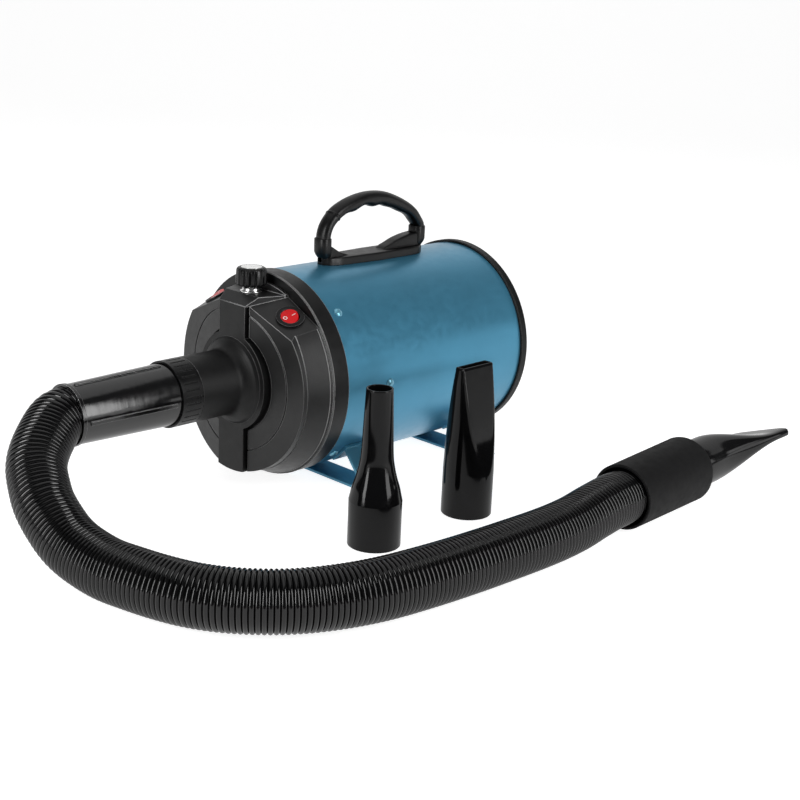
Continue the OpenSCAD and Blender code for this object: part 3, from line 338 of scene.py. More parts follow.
# ------------------------------------------------------------------ materials
def surface(name, base, rough, metal=0.0, spec=0.5, graze=1.0, coat=0.0, coat_rough=0.1,
            var=0.12, var_scale=55, tint=None, bands=None, dust=0.0, rvar=0.05, rvar_scale=160,
            grain=0.0, grain_scale=1400, grain_depth=0.08, cells=False, wave=None, wave_depth=0.0,
            bevel=0.5, edge=0.0, pale=0.09, highlight_fades=False):
    """A material whose colour and roughness vary, with rounded edges.

    graze: share of the shine left where a face is seen along its surface
    var, tint: how much the colour varies, and the colour that its bright end is taken from
    bands: axis, scale and darkness of fine layers or turns; dust: how much of it shows
    grain, wave: fine and coarse bumps, their depth in mm; cells: the grain is a foam's
    bevel: radius of the rounded edges in mm; edge, pale: how far and how pale the painted edge highlight is
    painted shade: with the last flag the edge highlight is fainter low down and on the far side
    """
    m, t, b = nodes_of(name)
    coord = object_coord(t)
    dark = tuple(c * (1 - var) for c in base)
    bright = tuple(min(1, c * (1 + var)) for c in (tint or base))
    patches = ranged(t, noise(t, coord, var_scale, COLOUR_DETAIL), *NOISE_MIDDLE, 0, 1)
    colour = mixed(t, patches, dark, bright)
    if bands:
        axis, scale, share = bands
        colour = mixed(t, band_pattern(t, coord, axis, scale), tuple(c * share for c in base), colour)
    if dust:
        specks = ranged(t, noise(t, coord, DUST_SCALE, DUST_DETAIL), *DUST_REACH, 0, dust)
        colour = mixed(t, specks, colour, DUST_GREY)
    bev = t.nodes.new("ShaderNodeBevel")
    bev.samples = BEVEL_SAMPLES
    bev.inputs["Radius"].default_value = bevel * MM
    normal = bev.outputs[0]
    # painted highlight: edges are made paler where they would catch the lamps
    if edge:
        edge_highlight_colour = tuple(min(1, c * HIGHLIGHT_GAIN + pale) for c in base)
        colour = mixed(t, painted_edge_highlight(t, coord, normal, edge, highlight_fades), colour, edge_highlight_colour)
    t.links.new(colour, b.inputs["Base Color"])
    uneven = noise(t, coord, rvar_scale, FINE_DETAIL, offset=ROUGH_OFFSET)
    t.links.new(ranged(t, uneven, *NOISE_MIDDLE, max(SMOOTHEST, rough - rvar), min(1, rough + rvar)),
                b.inputs["Roughness"])
    b.inputs["Metallic"].default_value = metal
    b.inputs["Specular IOR Level"].default_value = spec
    if graze < 1:
        facing = t.nodes.new("ShaderNodeLayerWeight").outputs["Facing"]
        t.links.new(ranged(t, facing, *GRAZE_REACH, spec, spec * graze), b.inputs["Specular IOR Level"])
    b.inputs["Coat Weight"].default_value = coat
    b.inputs["Coat Roughness"].default_value = coat_rough
    if wave:
        normal = bumped(t, noise(t, coord, 1.0, WAVE_DETAIL, stretch=wave), normal, 1, wave_depth)
    if grain:
        height = (cell_pattern(t, coord, grain_scale) if cells
                  else noise(t, coord, grain_scale, FINE_DETAIL))
        normal = bumped(t, height, normal, grain, grain_depth)
    t.links.new(normal, b.inputs["Normal"])
    return m


MATERIALS = {
    "blue": surface("tube_blue", (0.07, 0.275, 0.425), 0.34, metal=0.6, spec=0.4, var=0.05, var_scale=18,
                    rvar=0.04, grain=0.25, grain_scale=1900, grain_depth=0.03, edge=0.5, bevel=0.4,
                    coat=0.03, coat_rough=0.3, pale=0.2),
    "head": surface("head_black", (0.009, 0.009, 0.0092), 0.4, spec=0.36, var=0.2, rvar=0.05, grain=0.8,
                    grain_scale=800, grain_depth=0.11, edge=1.0, bevel=1.0, dust=0.03, pale=0.6,
                    highlight_fades=True),
    "trim": surface("trim_black", (0.0045, 0.0045, 0.0047), 0.36, spec=0.18, graze=0.05, var=0.14,
                    grain=0.35, grain_scale=1700, grain_depth=0.05, edge=0.7, bevel=0.7, pale=0.2),
    # pale grey: painted highlight lines where the head's joints catch the light
    "bead": surface("bead_painted_highlight", (0.2, 0.2, 0.2), 0.3, spec=0.6, var=0.3, var_scale=40, grain=0.3,
                    bevel=0.1),
    "ring": surface("ring_black", (0.0055, 0.0055, 0.0057), 0.36, spec=0.26, graze=0.3, var=0.14,
                    grain=0.35, grain_scale=1700, grain_depth=0.05, edge=0.9, bevel=0.9, pale=0.4),
    "panel": surface("panel_black", (0.006, 0.006, 0.0062), 0.45, spec=0.24, graze=0.3, var=0.16,
                     rvar=0.05, grain=0.5, grain_scale=1500, grain_depth=0.07, edge=0.8, bevel=0.9,
                     dust=0.02, pale=0.35, highlight_fades=True),
    "strap": surface("strap_blue", (0.085, 0.31, 0.46), 0.38, metal=0.3, spec=0.4, var=0.08, var_scale=30,
                     rvar=0.05, grain=0.3, grain_scale=1500, grain_depth=0.03, edge=0.5, bevel=0.4,
                     pale=0.2),
    # a lighter copy of the tube's blue: painted highlight on the domed heads
    "rivet": surface("rivet_blue_lit", (0.16, 0.42, 0.55), 0.25, metal=0.5, spec=0.5, var=0.05, edge=0.4,
                     bevel=0.3, pale=0.3),
    "collar": surface("collar_black", (0.0042, 0.0042, 0.0045), 0.3, spec=0.22, graze=0.3, var=0.14,
                      grain=0.3, grain_scale=2600, grain_depth=0.03, edge=0.4, bevel=0.3),
    "cuff": surface("cuff_black", (0.003, 0.003, 0.0033), 0.13, spec=0.6, graze=0.1, var=0.12, rvar=0.03,
                    wave=(190, 12, 12), wave_depth=0.05, edge=1.0, bevel=0.4, pale=0.5),
    "hose": surface("hose_black", (0.0018, 0.0018, 0.002), 0.12, spec=0.38, graze=0.05, var=0.15,
                    rvar=0.04, rvar_scale=90, grain=0.12, grain_scale=900, grain_depth=0.03, bevel=0.05),
    "sleeve": surface("sleeve_black", (0.0042, 0.0042, 0.0045), 0.5, spec=0.09, graze=0.03, var=0.12,
                      grain=0.45, grain_scale=2100, grain_depth=0.04, edge=0.35, bevel=0.7, dust=0.04),
    "nozzle": surface("nozzle_black", (0.0035, 0.0035, 0.0038), 0.09, spec=0.18, graze=0.1, var=0.1,
                      rvar=0.03, wave=(9, 9, 14), wave_depth=0.12, bevel=0.35, edge=0.2),
    "grip": surface("grip_black", (0.0038, 0.0038, 0.004), 0.34, spec=0.26, graze=0.2, var=0.12,
                    grain=0.4, grain_scale=1800, grain_depth=0.05, edge=0.3, bevel=0.6),
    "knob": surface("knob_black", (0.004, 0.004, 0.0042), 0.22, spec=0.25, graze=0.2, var=0.1, grain=0.2,
                    grain_scale=2500, grain_depth=0.02, edge=0.4, bevel=0.3),
    "red": surface("rocker_red", (0.6, 0.004, 0.007), 0.22, spec=0.2, var=0.08, var_scale=140, rvar=0.04,
                   grain=0.1, grain_scale=1200, grain_depth=0.02, bevel=0.4, edge=0.15),
    "mark": surface("mark_white", (0.8, 0.8, 0.79), 0.45, var=0.04, grain=0.2, grain_scale=4000,
                    bevel=0.05),
    "bright": surface("bright_metal", (0.78, 0.78, 0.77), 0.26, metal=1, var=0.05, var_scale=220,
                      rvar=0.06, grain=0.25, grain_scale=2500, grain_depth=0.02, bevel=0.3),
    "steel": surface("steel", (0.55, 0.555, 0.56), 0.32, metal=1, var=0.08, grain=0.25, grain_scale=1500,
                     grain_depth=0.03, bevel=0.3, edge=0.3),
    "alu": surface("cast_aluminium", (0.6, 0.61, 0.62), 0.46, metal=0.9, var=0.09, grain=0.6,
                   grain_scale=900, grain_depth=0.09, bevel=0.5, edge=0.3),
    "lam": surface("laminations", (0.33, 0.34, 0.36), 0.42, metal=0.9, var=0.1, grain=0.2,
                   bands=("X", 330, 0.45), bevel=0.2),
    "copper": surface("copper", (0.62, 0.25, 0.11), 0.3, metal=0.9, var=0.1, tint=(0.75, 0.33, 0.16),
                      bands=("Z", 420, 0.5), grain=0.3, bevel=0.5),
    "carbon": surface("carbon", (0.035, 0.035, 0.037), 0.55, var=0.2, grain=0.6, grain_scale=2600,
                      bevel=0.3),
    "mica": surface("mica", (0.55, 0.46, 0.3), 0.5, var=0.14, tint=(0.68, 0.6, 0.44), var_scale=120,
                    grain=0.4, grain_scale=700, bevel=0.2),
    "board": surface("board_green", (0.02, 0.14, 0.055), 0.36, var=0.15, var_scale=300, grain=0.3,
                     grain_scale=1600, bevel=0.2, edge=0.4),
    "rubber": surface("rubber", (0.02, 0.02, 0.021), 0.62, spec=0.4, var=0.15, grain=0.5, bevel=0.5),
    "foam": surface("foam", (0.075, 0.078, 0.085), 0.95, spec=0.2, var=0.25, var_scale=300, grain=1.0,
                    grain_scale=520, grain_depth=0.6, bevel=0.8, cells=True),
}
LOOKS = {                              # the CAD nodes that show each material
    "blue": "shell",
    "strap": "stand_front stand_rear",
    "head": "head_cover",
    "ring": "head_ring",
    "trim": "rear_rim rocker_case_near rocker_case_far cord_gland intake_grille",
    "panel": "front_panel",
    "collar": "hose_collar",
    "cuff": "hose_cuff",
    "sleeve": "hose_sleeve",
    "red": "rocker_near rocker_far",
    "bright": "handle_bolts pot_shaft",
    "steel": "motor_shaft bearing_front bearing_rear shaft_nut rear_bulkhead motor_bracket impeller_rear "
             "impeller_front potentiometer",
    "alu": "fan_housing fan_diffuser motor_frame",
    "lam": "stator_core armature",
    "copper": "field_coils commutator heater_rings brush_holders",
    "carbon": "carbon_brushes",
    "mica": "heater_tube heater_former thermostat",
    "board": "control_board",
    "rubber": "motor_gasket rubber_mount wire_loom",
    "foam": "foam_lining filter_sponge",
}
for look, names in LOOKS.items():
    for node_name in names.split():
        for material_slot in NODES[node_name].material_slots:
            material_slot.material = MATERIALS[look]


# ------------------------------------------------------------------ hose
ROUTE = np.array([
    (-222, 0, 91), (-235, 0, 91), (-249, 0, 91), (-259, -3.5, 89), (-271, -11, 83), (-284, -21, 75),
    (-293, -31, 67), (-299, -44, 58), (-303.5, -57, 50), (-305, -70, 42), (-305.5, -87, 33),
    (-304, -104, 27), (-301, -130, 23), (-297, -155, 23), (-290, -183, 23), (-280, -208, 23),
    (-264, -231, 23), (-241, -252, 23), (-214, -267, 23), (-181, -278, 23), (-143, -284, 23),
    (-98, -288, 23), (-51, -290, 23), (-10, -290.5, 23), (22, -289.5, 24), (48, -288, 26.8),
    (72, -286.3, 28.6), (90, -285, 28.6), (129.6, -282, 28.6)])
RIBS, HOSE_R, RIB_D, BORE = 190, 22.5, 1.8, 18.0   # radius over the ribs, their depth, inner radius
RIB_STEPS = np.array([0, 0.05, 0.13, 0.27, 0.5, 0.73, 0.87, 0.95])   # where a rib has rings
RIB_FULLNESS = 0.55                    # under 1, the ribs are round and the grooves sharp
HOSE_SIDES, BORE_RINGS = 64, 130
TANGENT = 2.5                          # mm each way in which the hose's direction is taken


def make_hose():
    """The ribbed hose, its centreline and that line's length in mm."""
    line = curve(ROUTE, k=16)
    run = np.concatenate([[0], np.cumsum(np.linalg.norm(np.diff(line, axis=0), axis=1))])
    length = run[-1]

    def at(d):
        return np.array([np.interp(d, run, line[:, k]) for k in range(3)]).T

    rib = HOSE_R - RIB_D * (1 - np.sin(np.pi * RIB_STEPS) ** RIB_FULLNESS)
    outside = (np.arange(RIBS)[:, None] + RIB_STEPS).ravel() * (length / RIBS)
    d = np.concatenate([outside, [length], np.linspace(length, 0, BORE_RINGS)])
    r = np.concatenate([np.tile(rib, RIBS), [HOSE_R - RIB_D], np.full(BORE_RINGS, BORE)])
    ahead = at(np.minimum(length, d + TANGENT)) - at(np.maximum(0, d - TANGENT))
    ahead /= np.linalg.norm(ahead, axis=1)[:, None]
    side = np.cross(ahead, (0, 0, 1.0))
    side /= np.linalg.norm(side, axis=1)[:, None]
    up = np.cross(side, ahead)
    th = around(HOSE_SIDES)
    v = (at(d)[:, None] + r[:, None, None] * (np.cos(th)[None, :, None] * side[:, None]
                                              + np.sin(th)[None, :, None] * up[:, None]))
    o = piece("hose_ribbed", v.reshape(-1, 3), skin(len(d), HOSE_SIDES, True), "housing",
              MATERIALS["hose"], "hose_black", "hose", sharp=70)
    return o, line, length


hose, hose_line, hose_length = make_hose()


# ------------------------------------------------------------------ nozzles
NOZZLE_R, NOZZLE_H, NOZZLE_WALL = 21.1, 127.0, 1.6   # base radius, height and wall of all three, mm
ROUND_AT, FLAT_AT = (-84.5, -178), (23, -177.5)      # where the two spare ones stand
NECK_FROM, NECK_R = 37, 10.5                         # height where the neck starts, radius at its top
NECK = [(NOZZLE_R, NECK_FROM), (20.1, 41.5), (18.6, 48), (16.8, 53.5), (15.3, 59), (14.1, 64.5),
        (13.1, 70.5), (12.4, 80), (11.9, 92.7), (11.2, 110), (NECK_R, NOZZLE_H)]   # radius, height


def round_nozzle():
    """A round base with a neck that narrows in a soft curve."""
    neck = curve(NECK, k=5)
    outer = [(r, z, 0) for r, z in neck[1:-1]]
    inner = [(r - NOZZLE_WALL, z, 0) for r, z in neck[-2:0:-1]]
    prof = ([(NOZZLE_R, 0, 0.6), (NOZZLE_R, NECK_FROM, 0.4)] + outer
            + [(NECK_R, NOZZLE_H, 0.6), (NECK_R - NOZZLE_WALL, NOZZLE_H, 0.5)] + inner
            + [(NOZZLE_R - NOZZLE_WALL, NECK_FROM, 0.4), (NOZZLE_R - NOZZLE_WALL, 0, 0.5)])
    return lathe("nozzle_round", rounded(prof, k=4), shift(*ROUND_AT, 0), "spare_round", seg=128,
                 mat=MATERIALS["nozzle"], slot="nozzle_black", node="round_nozzle", sharp=30)


round_nozzle()

FLAT_SIDES = 128
FLAT_FROM = 38                         # height where the flats start, mm
FLAT_HALF, FLAT_TAPER = 4.4, 3.3       # half thickness of the mouth, and how much narrower it is
FLAT_SOFT, FLAT_SOFTER = 0.25, 1.3     # how softly a flat meets the round; the second acts halfway up


def flat_section(z, inset):
    """A ring at height z: a circle, and above FLAT_FROM one whose near and far side are cut flat."""
    th = around(FLAT_SIDES) + math.pi / FLAT_SIDES
    k = max(0.0, (z - FLAT_FROM) / (NOZZLE_H - FLAT_FROM))
    r = NOZZLE_R - FLAT_TAPER * k - inset
    limit = NOZZLE_R + (FLAT_HALF - NOZZLE_R) * k - inset
    x, y = r * np.cos(th), r * np.sin(th)
    if limit < r:                      # a soft limit in y, and the points spread out along the flat
        soft = FLAT_SOFT + FLAT_SOFTER * (1 - k) * k
        corner_x, corner_angle = math.sqrt(max(r * r - limit * limit, 0)), np.arcsin(min(1, limit / r))
        angle = np.abs(np.arctan2(np.abs(y), np.abs(x)))
        share = np.clip((math.pi / 2 - angle) / max(TINY, math.pi / 2 - corner_angle), 0, 1)
        on_round = np.sqrt(np.maximum(r * r - np.minimum(np.abs(y), limit) ** 2, 0))
        x = np.sign(x) * np.where(np.abs(y) > limit, corner_x * share, on_round)
        y = -soft * np.log(np.exp(-np.abs(y) / soft) + np.exp(-limit / soft)) * np.sign(y)
    return np.stack([x, y, np.full(FLAT_SIDES, z)], -1)


def flat_nozzle():
    """A round base whose two sides are cut flat towards a slot."""
    outside = [(0, 0.6), (0.15, 0.25), (0.5, 0.05), (1.2, 0), (20, 0), (36.5, 0),
               *((z, 0) for z in np.linspace(FLAT_FROM + 0.2, NOZZLE_H - 0.6, 60)),
               (NOZZLE_H - 0.2, 0.12), (NOZZLE_H, 0.4)]
    inside = [(NOZZLE_H, NOZZLE_WALL - 0.3), (NOZZLE_H - 0.4, NOZZLE_WALL - 0.05),
              *((z, NOZZLE_WALL) for z in np.linspace(NOZZLE_H - 3, FLAT_FROM + 0.5, 30)),
              (30, NOZZLE_WALL), (2, NOZZLE_WALL), (0.3, NOZZLE_WALL - 0.1), (0, NOZZLE_WALL - 0.5)]
    rings = [flat_section(z, inset) for z, inset in outside + inside]
    return piece("nozzle_flat", np.concatenate(rings) + (*FLAT_AT, 0),
                 flipped(skin(len(rings), FLAT_SIDES, True)), "spare_flat", MATERIALS["nozzle"],
                 "nozzle_black", "flat_nozzle", sharp=40)


flat_nozzle()

SLEEVE = shift(89.7, -285, 28.6) @ rot("Z", 4.3)   # the grip sleeve's hose end, with x along it
WIDE_SIDES = 96
WIDE_START, WIDE_FLARE, WIDE_END = 65.5, 133.0, 236.5   # along the sleeve: base, start of flare, mouth
WIDE_HALF, THIN_HALF = 30.0, 4.5       # half width and half thickness of the mouth
WIDE_ROLL = -20                        # how the nozzle is rolled in the sleeve, degrees
THIN_BY = 0.85                         # share of the flare in which it gets thin
SQUARE_BY = 3                          # how much squarer than an ellipse the mouth is
SEAM, SEAM_FROM = 0.45, -0.1           # how far the seam stands out in mm, and where on the flare it starts


def wide_section(x, inset):
    """A ring at x along the sleeve, round up to WIDE_FLARE and wide and flat at the mouth."""
    t = (x - WIDE_FLARE) / (WIDE_END - WIDE_FLARE)
    th = around(WIDE_SIDES)
    if t <= 0:
        q = superellipse(NOZZLE_R - inset, NOZZLE_R - inset, 2, th)
    else:
        s, thick = float(smooth(t)), 1 - float(smooth(t / THIN_BY))
        q = superellipse(NOZZLE_R - inset + (WIDE_HALF - NOZZLE_R) * s,
                         THIN_HALF - inset + (NOZZLE_R - THIN_HALF) * thick, 2 + SQUARE_BY * s, th)
    if t > SEAM_FROM and inset <= 0:
        q[[0, WIDE_SIDES // 2], 0] += np.array([SEAM, -SEAM])
    return np.concatenate([np.full((WIDE_SIDES, 1), x), q], 1)


def end_nozzle():
    """A round base that turns into a wide flat mouth, with a seam along its two edges."""
    outside = [(WIDE_START, 0.6), (WIDE_START + 0.2, 0.2), (WIDE_START + 0.8, 0), (WIDE_FLARE - 14, 0),
               (WIDE_FLARE - 12, 0), (WIDE_FLARE - 0.5, 0),
               *((x, 0) for x in np.linspace(WIDE_FLARE + 0.5, WIDE_END - 1.2, 70)),
               (WIDE_END - 0.5, 0), (WIDE_END - 0.1, 0.1), (WIDE_END, 0.45)]
    inside = [(WIDE_END, NOZZLE_WALL - 0.4), (WIDE_END - 0.4, NOZZLE_WALL - 0.05),
              *((x, NOZZLE_WALL) for x in np.linspace(WIDE_END - 2, WIDE_START + 1, 50)),
              (WIDE_START, NOZZLE_WALL - 0.4)]
    rings = [wide_section(x, inset) for x, inset in outside + inside]
    return piece("nozzle_wide", placed(np.concatenate(rings), SLEEVE @ rot("X", WIDE_ROLL)),
                 flipped(skin(len(rings), WIDE_SIDES, True)), "wide_nozzle", MATERIALS["nozzle"],
                 "nozzle_black", "end_nozzle", sharp=50)


end_nozzle()


# ------------------------------------------------------------------ handle
# Places are mm along the tube from its front end and mm above its axis.
GRIP_X = 50                            # where x = 0 of the grip's line lies along the tube
GRIP = [(-2.3, 98), (-2.3, 108), (-1.8, 114), (0.7, 120.6), (5.6, 126.5), (13.5, 132.2), (25, 137.1),
        (39.5, 140.5), (54, 141.5), (68.3, 139.9), (82.3, 135.2), (95.4, 129), (104, 123.2), (109.8, 117.2),
        (113.4, 113), (114.6, 108.5), (114.6, 98)]
GRIP_SIDES, GRIP_SQUARE = 64, 2.3
GRIP_BELOW, GRIP_ABOVE, GRIP_HALF = 4.6, 5.2, 7.4   # from that line down, up and to each side, mm
SWELL_UP, SWELL_OUT = 0.7, 0.5         # how much more it is along the middle of the arch
SWELL_FROM, SWELL_TO, SWELL_RATE = 0.2, 0.88, 8     # shares of the line, and how fast the swell comes
BUMPS = [(0.393, 2.6, 0.036), (0.5, 3.4, 0.036), (0.575, 2.3, 0.04), (0.65, 1.6, 0.05)]
SLEEVE_BEAD = (0.275, 0.55, 0.005)     # as in BUMPS: share of the line, height in mm, width as a share


def bump(s, middle, height, width):
    """Height of a soft bump at the share s of the grip's line."""
    return height * math.exp(-((s - middle) / width) ** 2)


def handle_grip():
    """The arched grip, with finger bumps on its underside and a bead where its end sleeve starts."""
    p = curve([(x + GRIP_X, z) for x, z in GRIP], k=22)
    n = len(p)
    q = superellipse(1, 1, GRIP_SQUARE, around(GRIP_SIDES))
    v = []
    for i in range(n):
        t = p[min(n - 1, i + 1)] - p[max(0, i - 1)]
        t /= np.linalg.norm(t)
        u = np.array([-t[1], t[0]])
        s = i / (n - 1)
        swell = float(smooth((s - SWELL_FROM) * SWELL_RATE) * smooth((SWELL_TO - s) * SWELL_RATE))
        fingers = sum(bump(s, *b) for b in BUMPS)
        bead = bump(s, *SLEEVE_BEAD)
        k = np.where(q[:, 0] < 0, GRIP_BELOW + fingers, GRIP_ABOVE + SWELL_UP * swell) + bead
        v.append(np.stack([p[i][0] + u[0] * q[:, 0] * k,
                           q[:, 1] * (GRIP_HALF + SWELL_OUT * swell + bead),
                           p[i][1] + u[1] * q[:, 0] * k], -1))
    return piece("grip", np.concatenate(v) + AX, flipped(capped(n, GRIP_SIDES)), "housing",
                 MATERIALS["grip"], "trim_black", "handle_grip", sharp=45)


PLATE_TOP, PLATE_UNDER = 93.9, 87.7    # top of the base plate, radius of its underside
PLATE = np.array([(44, 2.5), (46, 5), (50, 8), (60, 10.8), (72, 11.6), (105, 13.2), (150, 12.6),
                  (157, 11.6), (163, 8)])              # half width along the tube
PLATE_STEPS = [*np.linspace(44, 50, 7), *np.linspace(52, 154, 42), *np.linspace(156, 163, 6)]
FRONT_RAMP = [(44, 103), (47, 104.8), (50.5, 104.3), (54, 103), (59, 100), (64, 97.3), (71, 95),
              (77, 93.2)]
REAR_RAMP = [(115, 93.2), (120, 96), (127, 98.4), (134, 101), (141, 102.8), (150, 104.4), (162, 105.5)]
RAMP_HALF, RAMP_UNDER = 6.0, 90        # half width of the ramps, and where their underside is
EDGE = 1.4                             # size of the rounded upper edges of plate and ramps
SOCKETS = ((47.2, 1), (164.3, -1))     # middle of each socket and which way its foot leans
SOCKET_X, SOCKET_Y, SOCKET_SQUARE, SOCKET_SIDES = 6.4, 7.9, 2.5, 48
SOCKET_RINGS = ((89.5, 0.5, 3.4), (91.5, 0.62, 2.7), (94, 0.8, 1.5), (96.5, 0.93, 0.6), (99, 1, 0.1),
                (104, 1, 0), (110, 1, 0), (110.6, 0.97, 0), (110.8, 0.9, 0),
                (110.6, 0.84, 0))      # height, share of the full size, lean


def bar_rings(xs, half, top, under):
    """Rings of a bar along the tube with rounded upper edges."""
    rings = []
    for x in xs:
        w, z = half(x), top(x)
        y = np.linspace(-w, w, 13)
        c = min(EDGE, w * 0.5)
        right = [(w, z - c), (w - 0.15 * c, z - 0.5 * c), (w - 0.5 * c, z - 0.15 * c), (w - c, z)]
        middle = [(v, z) for v in np.linspace(w - c, c - w, 6)[1:-1]]
        left = [(-a, b) for a, b in right[::-1]]
        ring = np.array([*np.stack([y, under(y)], -1), *right, *middle, *left])
        rings.append(np.concatenate([np.full((len(ring), 1), x), ring], 1)[::-1])
    return rings


def socket_rings(x, side):
    """Rings of one of the sockets that hold the grip, from a narrow foot to a rounded mouth."""
    rings = []
    for z, k, lean in SOCKET_RINGS:
        q = superellipse(SOCKET_X * k, SOCKET_Y * k, SOCKET_SQUARE, around(SOCKET_SIDES))
        rings.append(np.stack([x + side * lean + q[:, 0], q[:, 1], np.full(SOCKET_SIDES, float(z))], -1))
    return rings


def handle_base():
    """The base on the tube with its two ramps, and the two sockets that hold the grip."""
    front, rear = curve(FRONT_RAMP, k=6), curve(REAR_RAMP, k=6)
    bars = [
        bar_rings(PLATE_STEPS, lambda x: float(np.interp(x, *PLATE.T)), lambda x: PLATE_TOP,
                  lambda y: np.sqrt(PLATE_UNDER ** 2 - y * y)),
        bar_rings(front[:, 0], lambda x: min(RAMP_HALF, PLATE[0, 1] + (x - PLATE[0, 0])),
                  lambda x: float(np.interp(x, *front.T)), lambda y: np.full_like(y, RAMP_UNDER)),
        bar_rings(rear[:, 0], lambda x: RAMP_HALF,
                  lambda x: float(np.interp(x, *rear.T)), lambda y: np.full_like(y, RAMP_UNDER)),
        *(socket_rings(x, side) for x, side in SOCKETS),
    ]
    points, faces = [], []
    for rings in bars:
        faces += capped(len(rings), len(rings[0]), start=len(points))
        points += [*np.concatenate(rings)]
    return piece("handle_foot", np.array(points) + AX, faces, "housing", MATERIALS["grip"],
                 "trim_black", "handle_base", sharp=40)


handle_grip()
handle_base()


# ------------------------------------------------------------------ knob
KNOB_AT = shift(*(AX + (-32.8, 0, 74.3)))   # the knob's seat on the head
KNOB_POINTS, FLUTES, FLUTE_SHAPE = 256, 16, 1.4
KNOB = [(3.1, 5.6, 0), (11.4, 5.6, 0), (12.3, 5.9, 0.6), (12.9, 6.6, 1.2), (13.1, 8, 1.5), (13.0, 13, 1.5),
        (12.8, 18.2, 1.5), (12.5, 19.2, 1.2), (11.8, 20.0, 0.6), (10.6, 20.6, 0), (9.5, 20.9, 0),
        (9.1, 20.7, 0), (9.0, 20.0, 0), (3.1, 20.0, 0)]   # radius, height above the seat, flute depth


def knob():
    """The fluted knob, the bright disc on it and the bright ring under it."""
    th = around(KNOB_POINTS)
    dip = np.maximum(0, np.cos(th * FLUTES)) ** FLUTE_SHAPE
    rings = [np.stack([(r - d * dip) * np.cos(th), (r - d * dip) * np.sin(th),
                       np.full(KNOB_POINTS, float(z))], -1) for r, z, d in KNOB]
    piece("knob_fluted", np.concatenate(rings) + KNOB_AT[:3, 3],
          flipped(skin(len(rings), KNOB_POINTS, True)), "knob", MATERIALS["knob"], "trim_black",
          "speed_knob", sharp=50)
    disc = rounded([(0.01, 20.1, 0), (8.9, 20.1, 0), (8.9, 20.9, 0.2), (8.2, 21.1, 0.3),
                    (7.7, 20.85, 0.3), (0.01, 20.8, 0)])
    lathe("knob_disc", disc, KNOB_AT, "knob", mat=MATERIALS["bright"], slot="bright_metal",
          node="knob_cap")
    ring = rounded([(4.6, 0.02, 0), (9.3, 0.02, 0), (9.3, 0.9, 0.4), (7.8, 1.2, 0.3), (7.2, 3.4, 0.7),
                    (4.6, 3.4, 0)])
    lathe("knob_ring", ring, KNOB_AT, "housing", mat=MATERIALS["bright"], slot="bright_metal",
          node="knob_nut")


knob()


# ------------------------------------------------------------------ pale beads of the head, painted highlight lines
BEAD_R, BEAD_STEPS, BEAD_SIDES = 0.42, 160, 8


def bead(name, x, r, a0, a1):
    """A fine raised pale bead round the head from angle a0 to a1, counted from the near side upwards: a
    painted highlight line.
    """
    ph = around(BEAD_SIDES)
    reach = r + BEAD_R * np.cos(ph)
    rings = [np.stack([x + BEAD_R * np.sin(ph), -reach * math.cos(t), reach * math.sin(t)], -1)
             for t in np.radians(np.linspace(a0, a1, BEAD_STEPS))]
    piece(name, np.concatenate(rings) + AX, capped(BEAD_STEPS, BEAD_SIDES), "housing",
          MATERIALS["bead"], "head_black", sharp=80)


# pale beads painting the bright lines at the band's and the cover's joints
bead("band_highlight_bead", -16.1, 88.55, 0, 357.75)   # 2.25 degrees short of a full turn
bead("cover_highlight_bead", -19.7, 87.2, -218, 38)


# ------------------------------------------------------------------ switch marks
SWITCH_AT = (-30.3, -47.1, 60.3)       # the near switch, from AX
FACET_TURN, FACET_TILT = 52, 31.5      # how its facet lies, degrees
ROCKER_TURN, ROCKER_LEAN = 115, 7      # how the rocker is turned in it, and how far it leans when off
PIVOT_Z = 3.5                          # how far under the facet the rocker's pins are
ROCKER_Z, ROCKER_RISE = 1.7, 1.4 / 9.9   # its top in the middle, and how much that rises to both ends
INK, SUNK = 0.07, 0.02                 # thickness of the printed marks, and how deep they start
RING_X, RING_INNER, RING_OUTER, RING_POINTS = -3.9, 1.25, 1.8, 40
BAR_FROM, BAR_TO, BAR_HALF = 2.3, 5.5, 0.3
BOX_FACES = [(3, 2, 1, 0), (4, 5, 6, 7), (0, 1, 5, 4), (1, 2, 6, 5), (2, 3, 7, 6), (3, 0, 4, 7)]


def on_rocker(x, y, height):
    """A point of a mark on the V-shaped top of the rocker."""
    return x, y, ROCKER_Z + abs(x) * ROCKER_RISE + height - SUNK


def switch_marks(side, body, tag):
    """The ring and the bar printed on a rocker; the far switch is the near one mirrored."""
    at = (shift(*AX) @ shift(*SWITCH_AT) @ rot("Z", FACET_TURN - 180) @ rot("Y", FACET_TILT)
          @ rot("Z", ROCKER_TURN) @ shift(0, 0, -PIVOT_Z) @ rot("Y", -ROCKER_LEAN) @ shift(0, 0, PIVOT_Z))
    ring = [on_rocker(RING_X + r * math.cos(a), r * math.sin(a), height)
            for r, height in ((RING_INNER, 0), (RING_INNER, INK), (RING_OUTER, INK), (RING_OUTER, 0))
            for a in around(RING_POINTS)]
    corners = ((BAR_FROM, -BAR_HALF), (BAR_TO, -BAR_HALF), (BAR_TO, BAR_HALF), (BAR_FROM, BAR_HALF))
    bar = [on_rocker(x, y, height) for height in (0, INK) for x, y in corners]
    mirror = np.diag([1, side * -1.0, 1, 1])
    for mark, points, faces in (("off", ring, flipped(skin(4, RING_POINTS, True))),
                                ("on", bar, BOX_FACES)):
        piece(f"mark_{mark}_{tag}", placed(np.array(points), mirror @ at),
              faces if side < 0 else flipped(faces), body, MATERIALS["mark"], "rocker_red", sharp=30)


switch_marks(-1, "switch_near", "near")
switch_marks(1, "switch_far", "far")


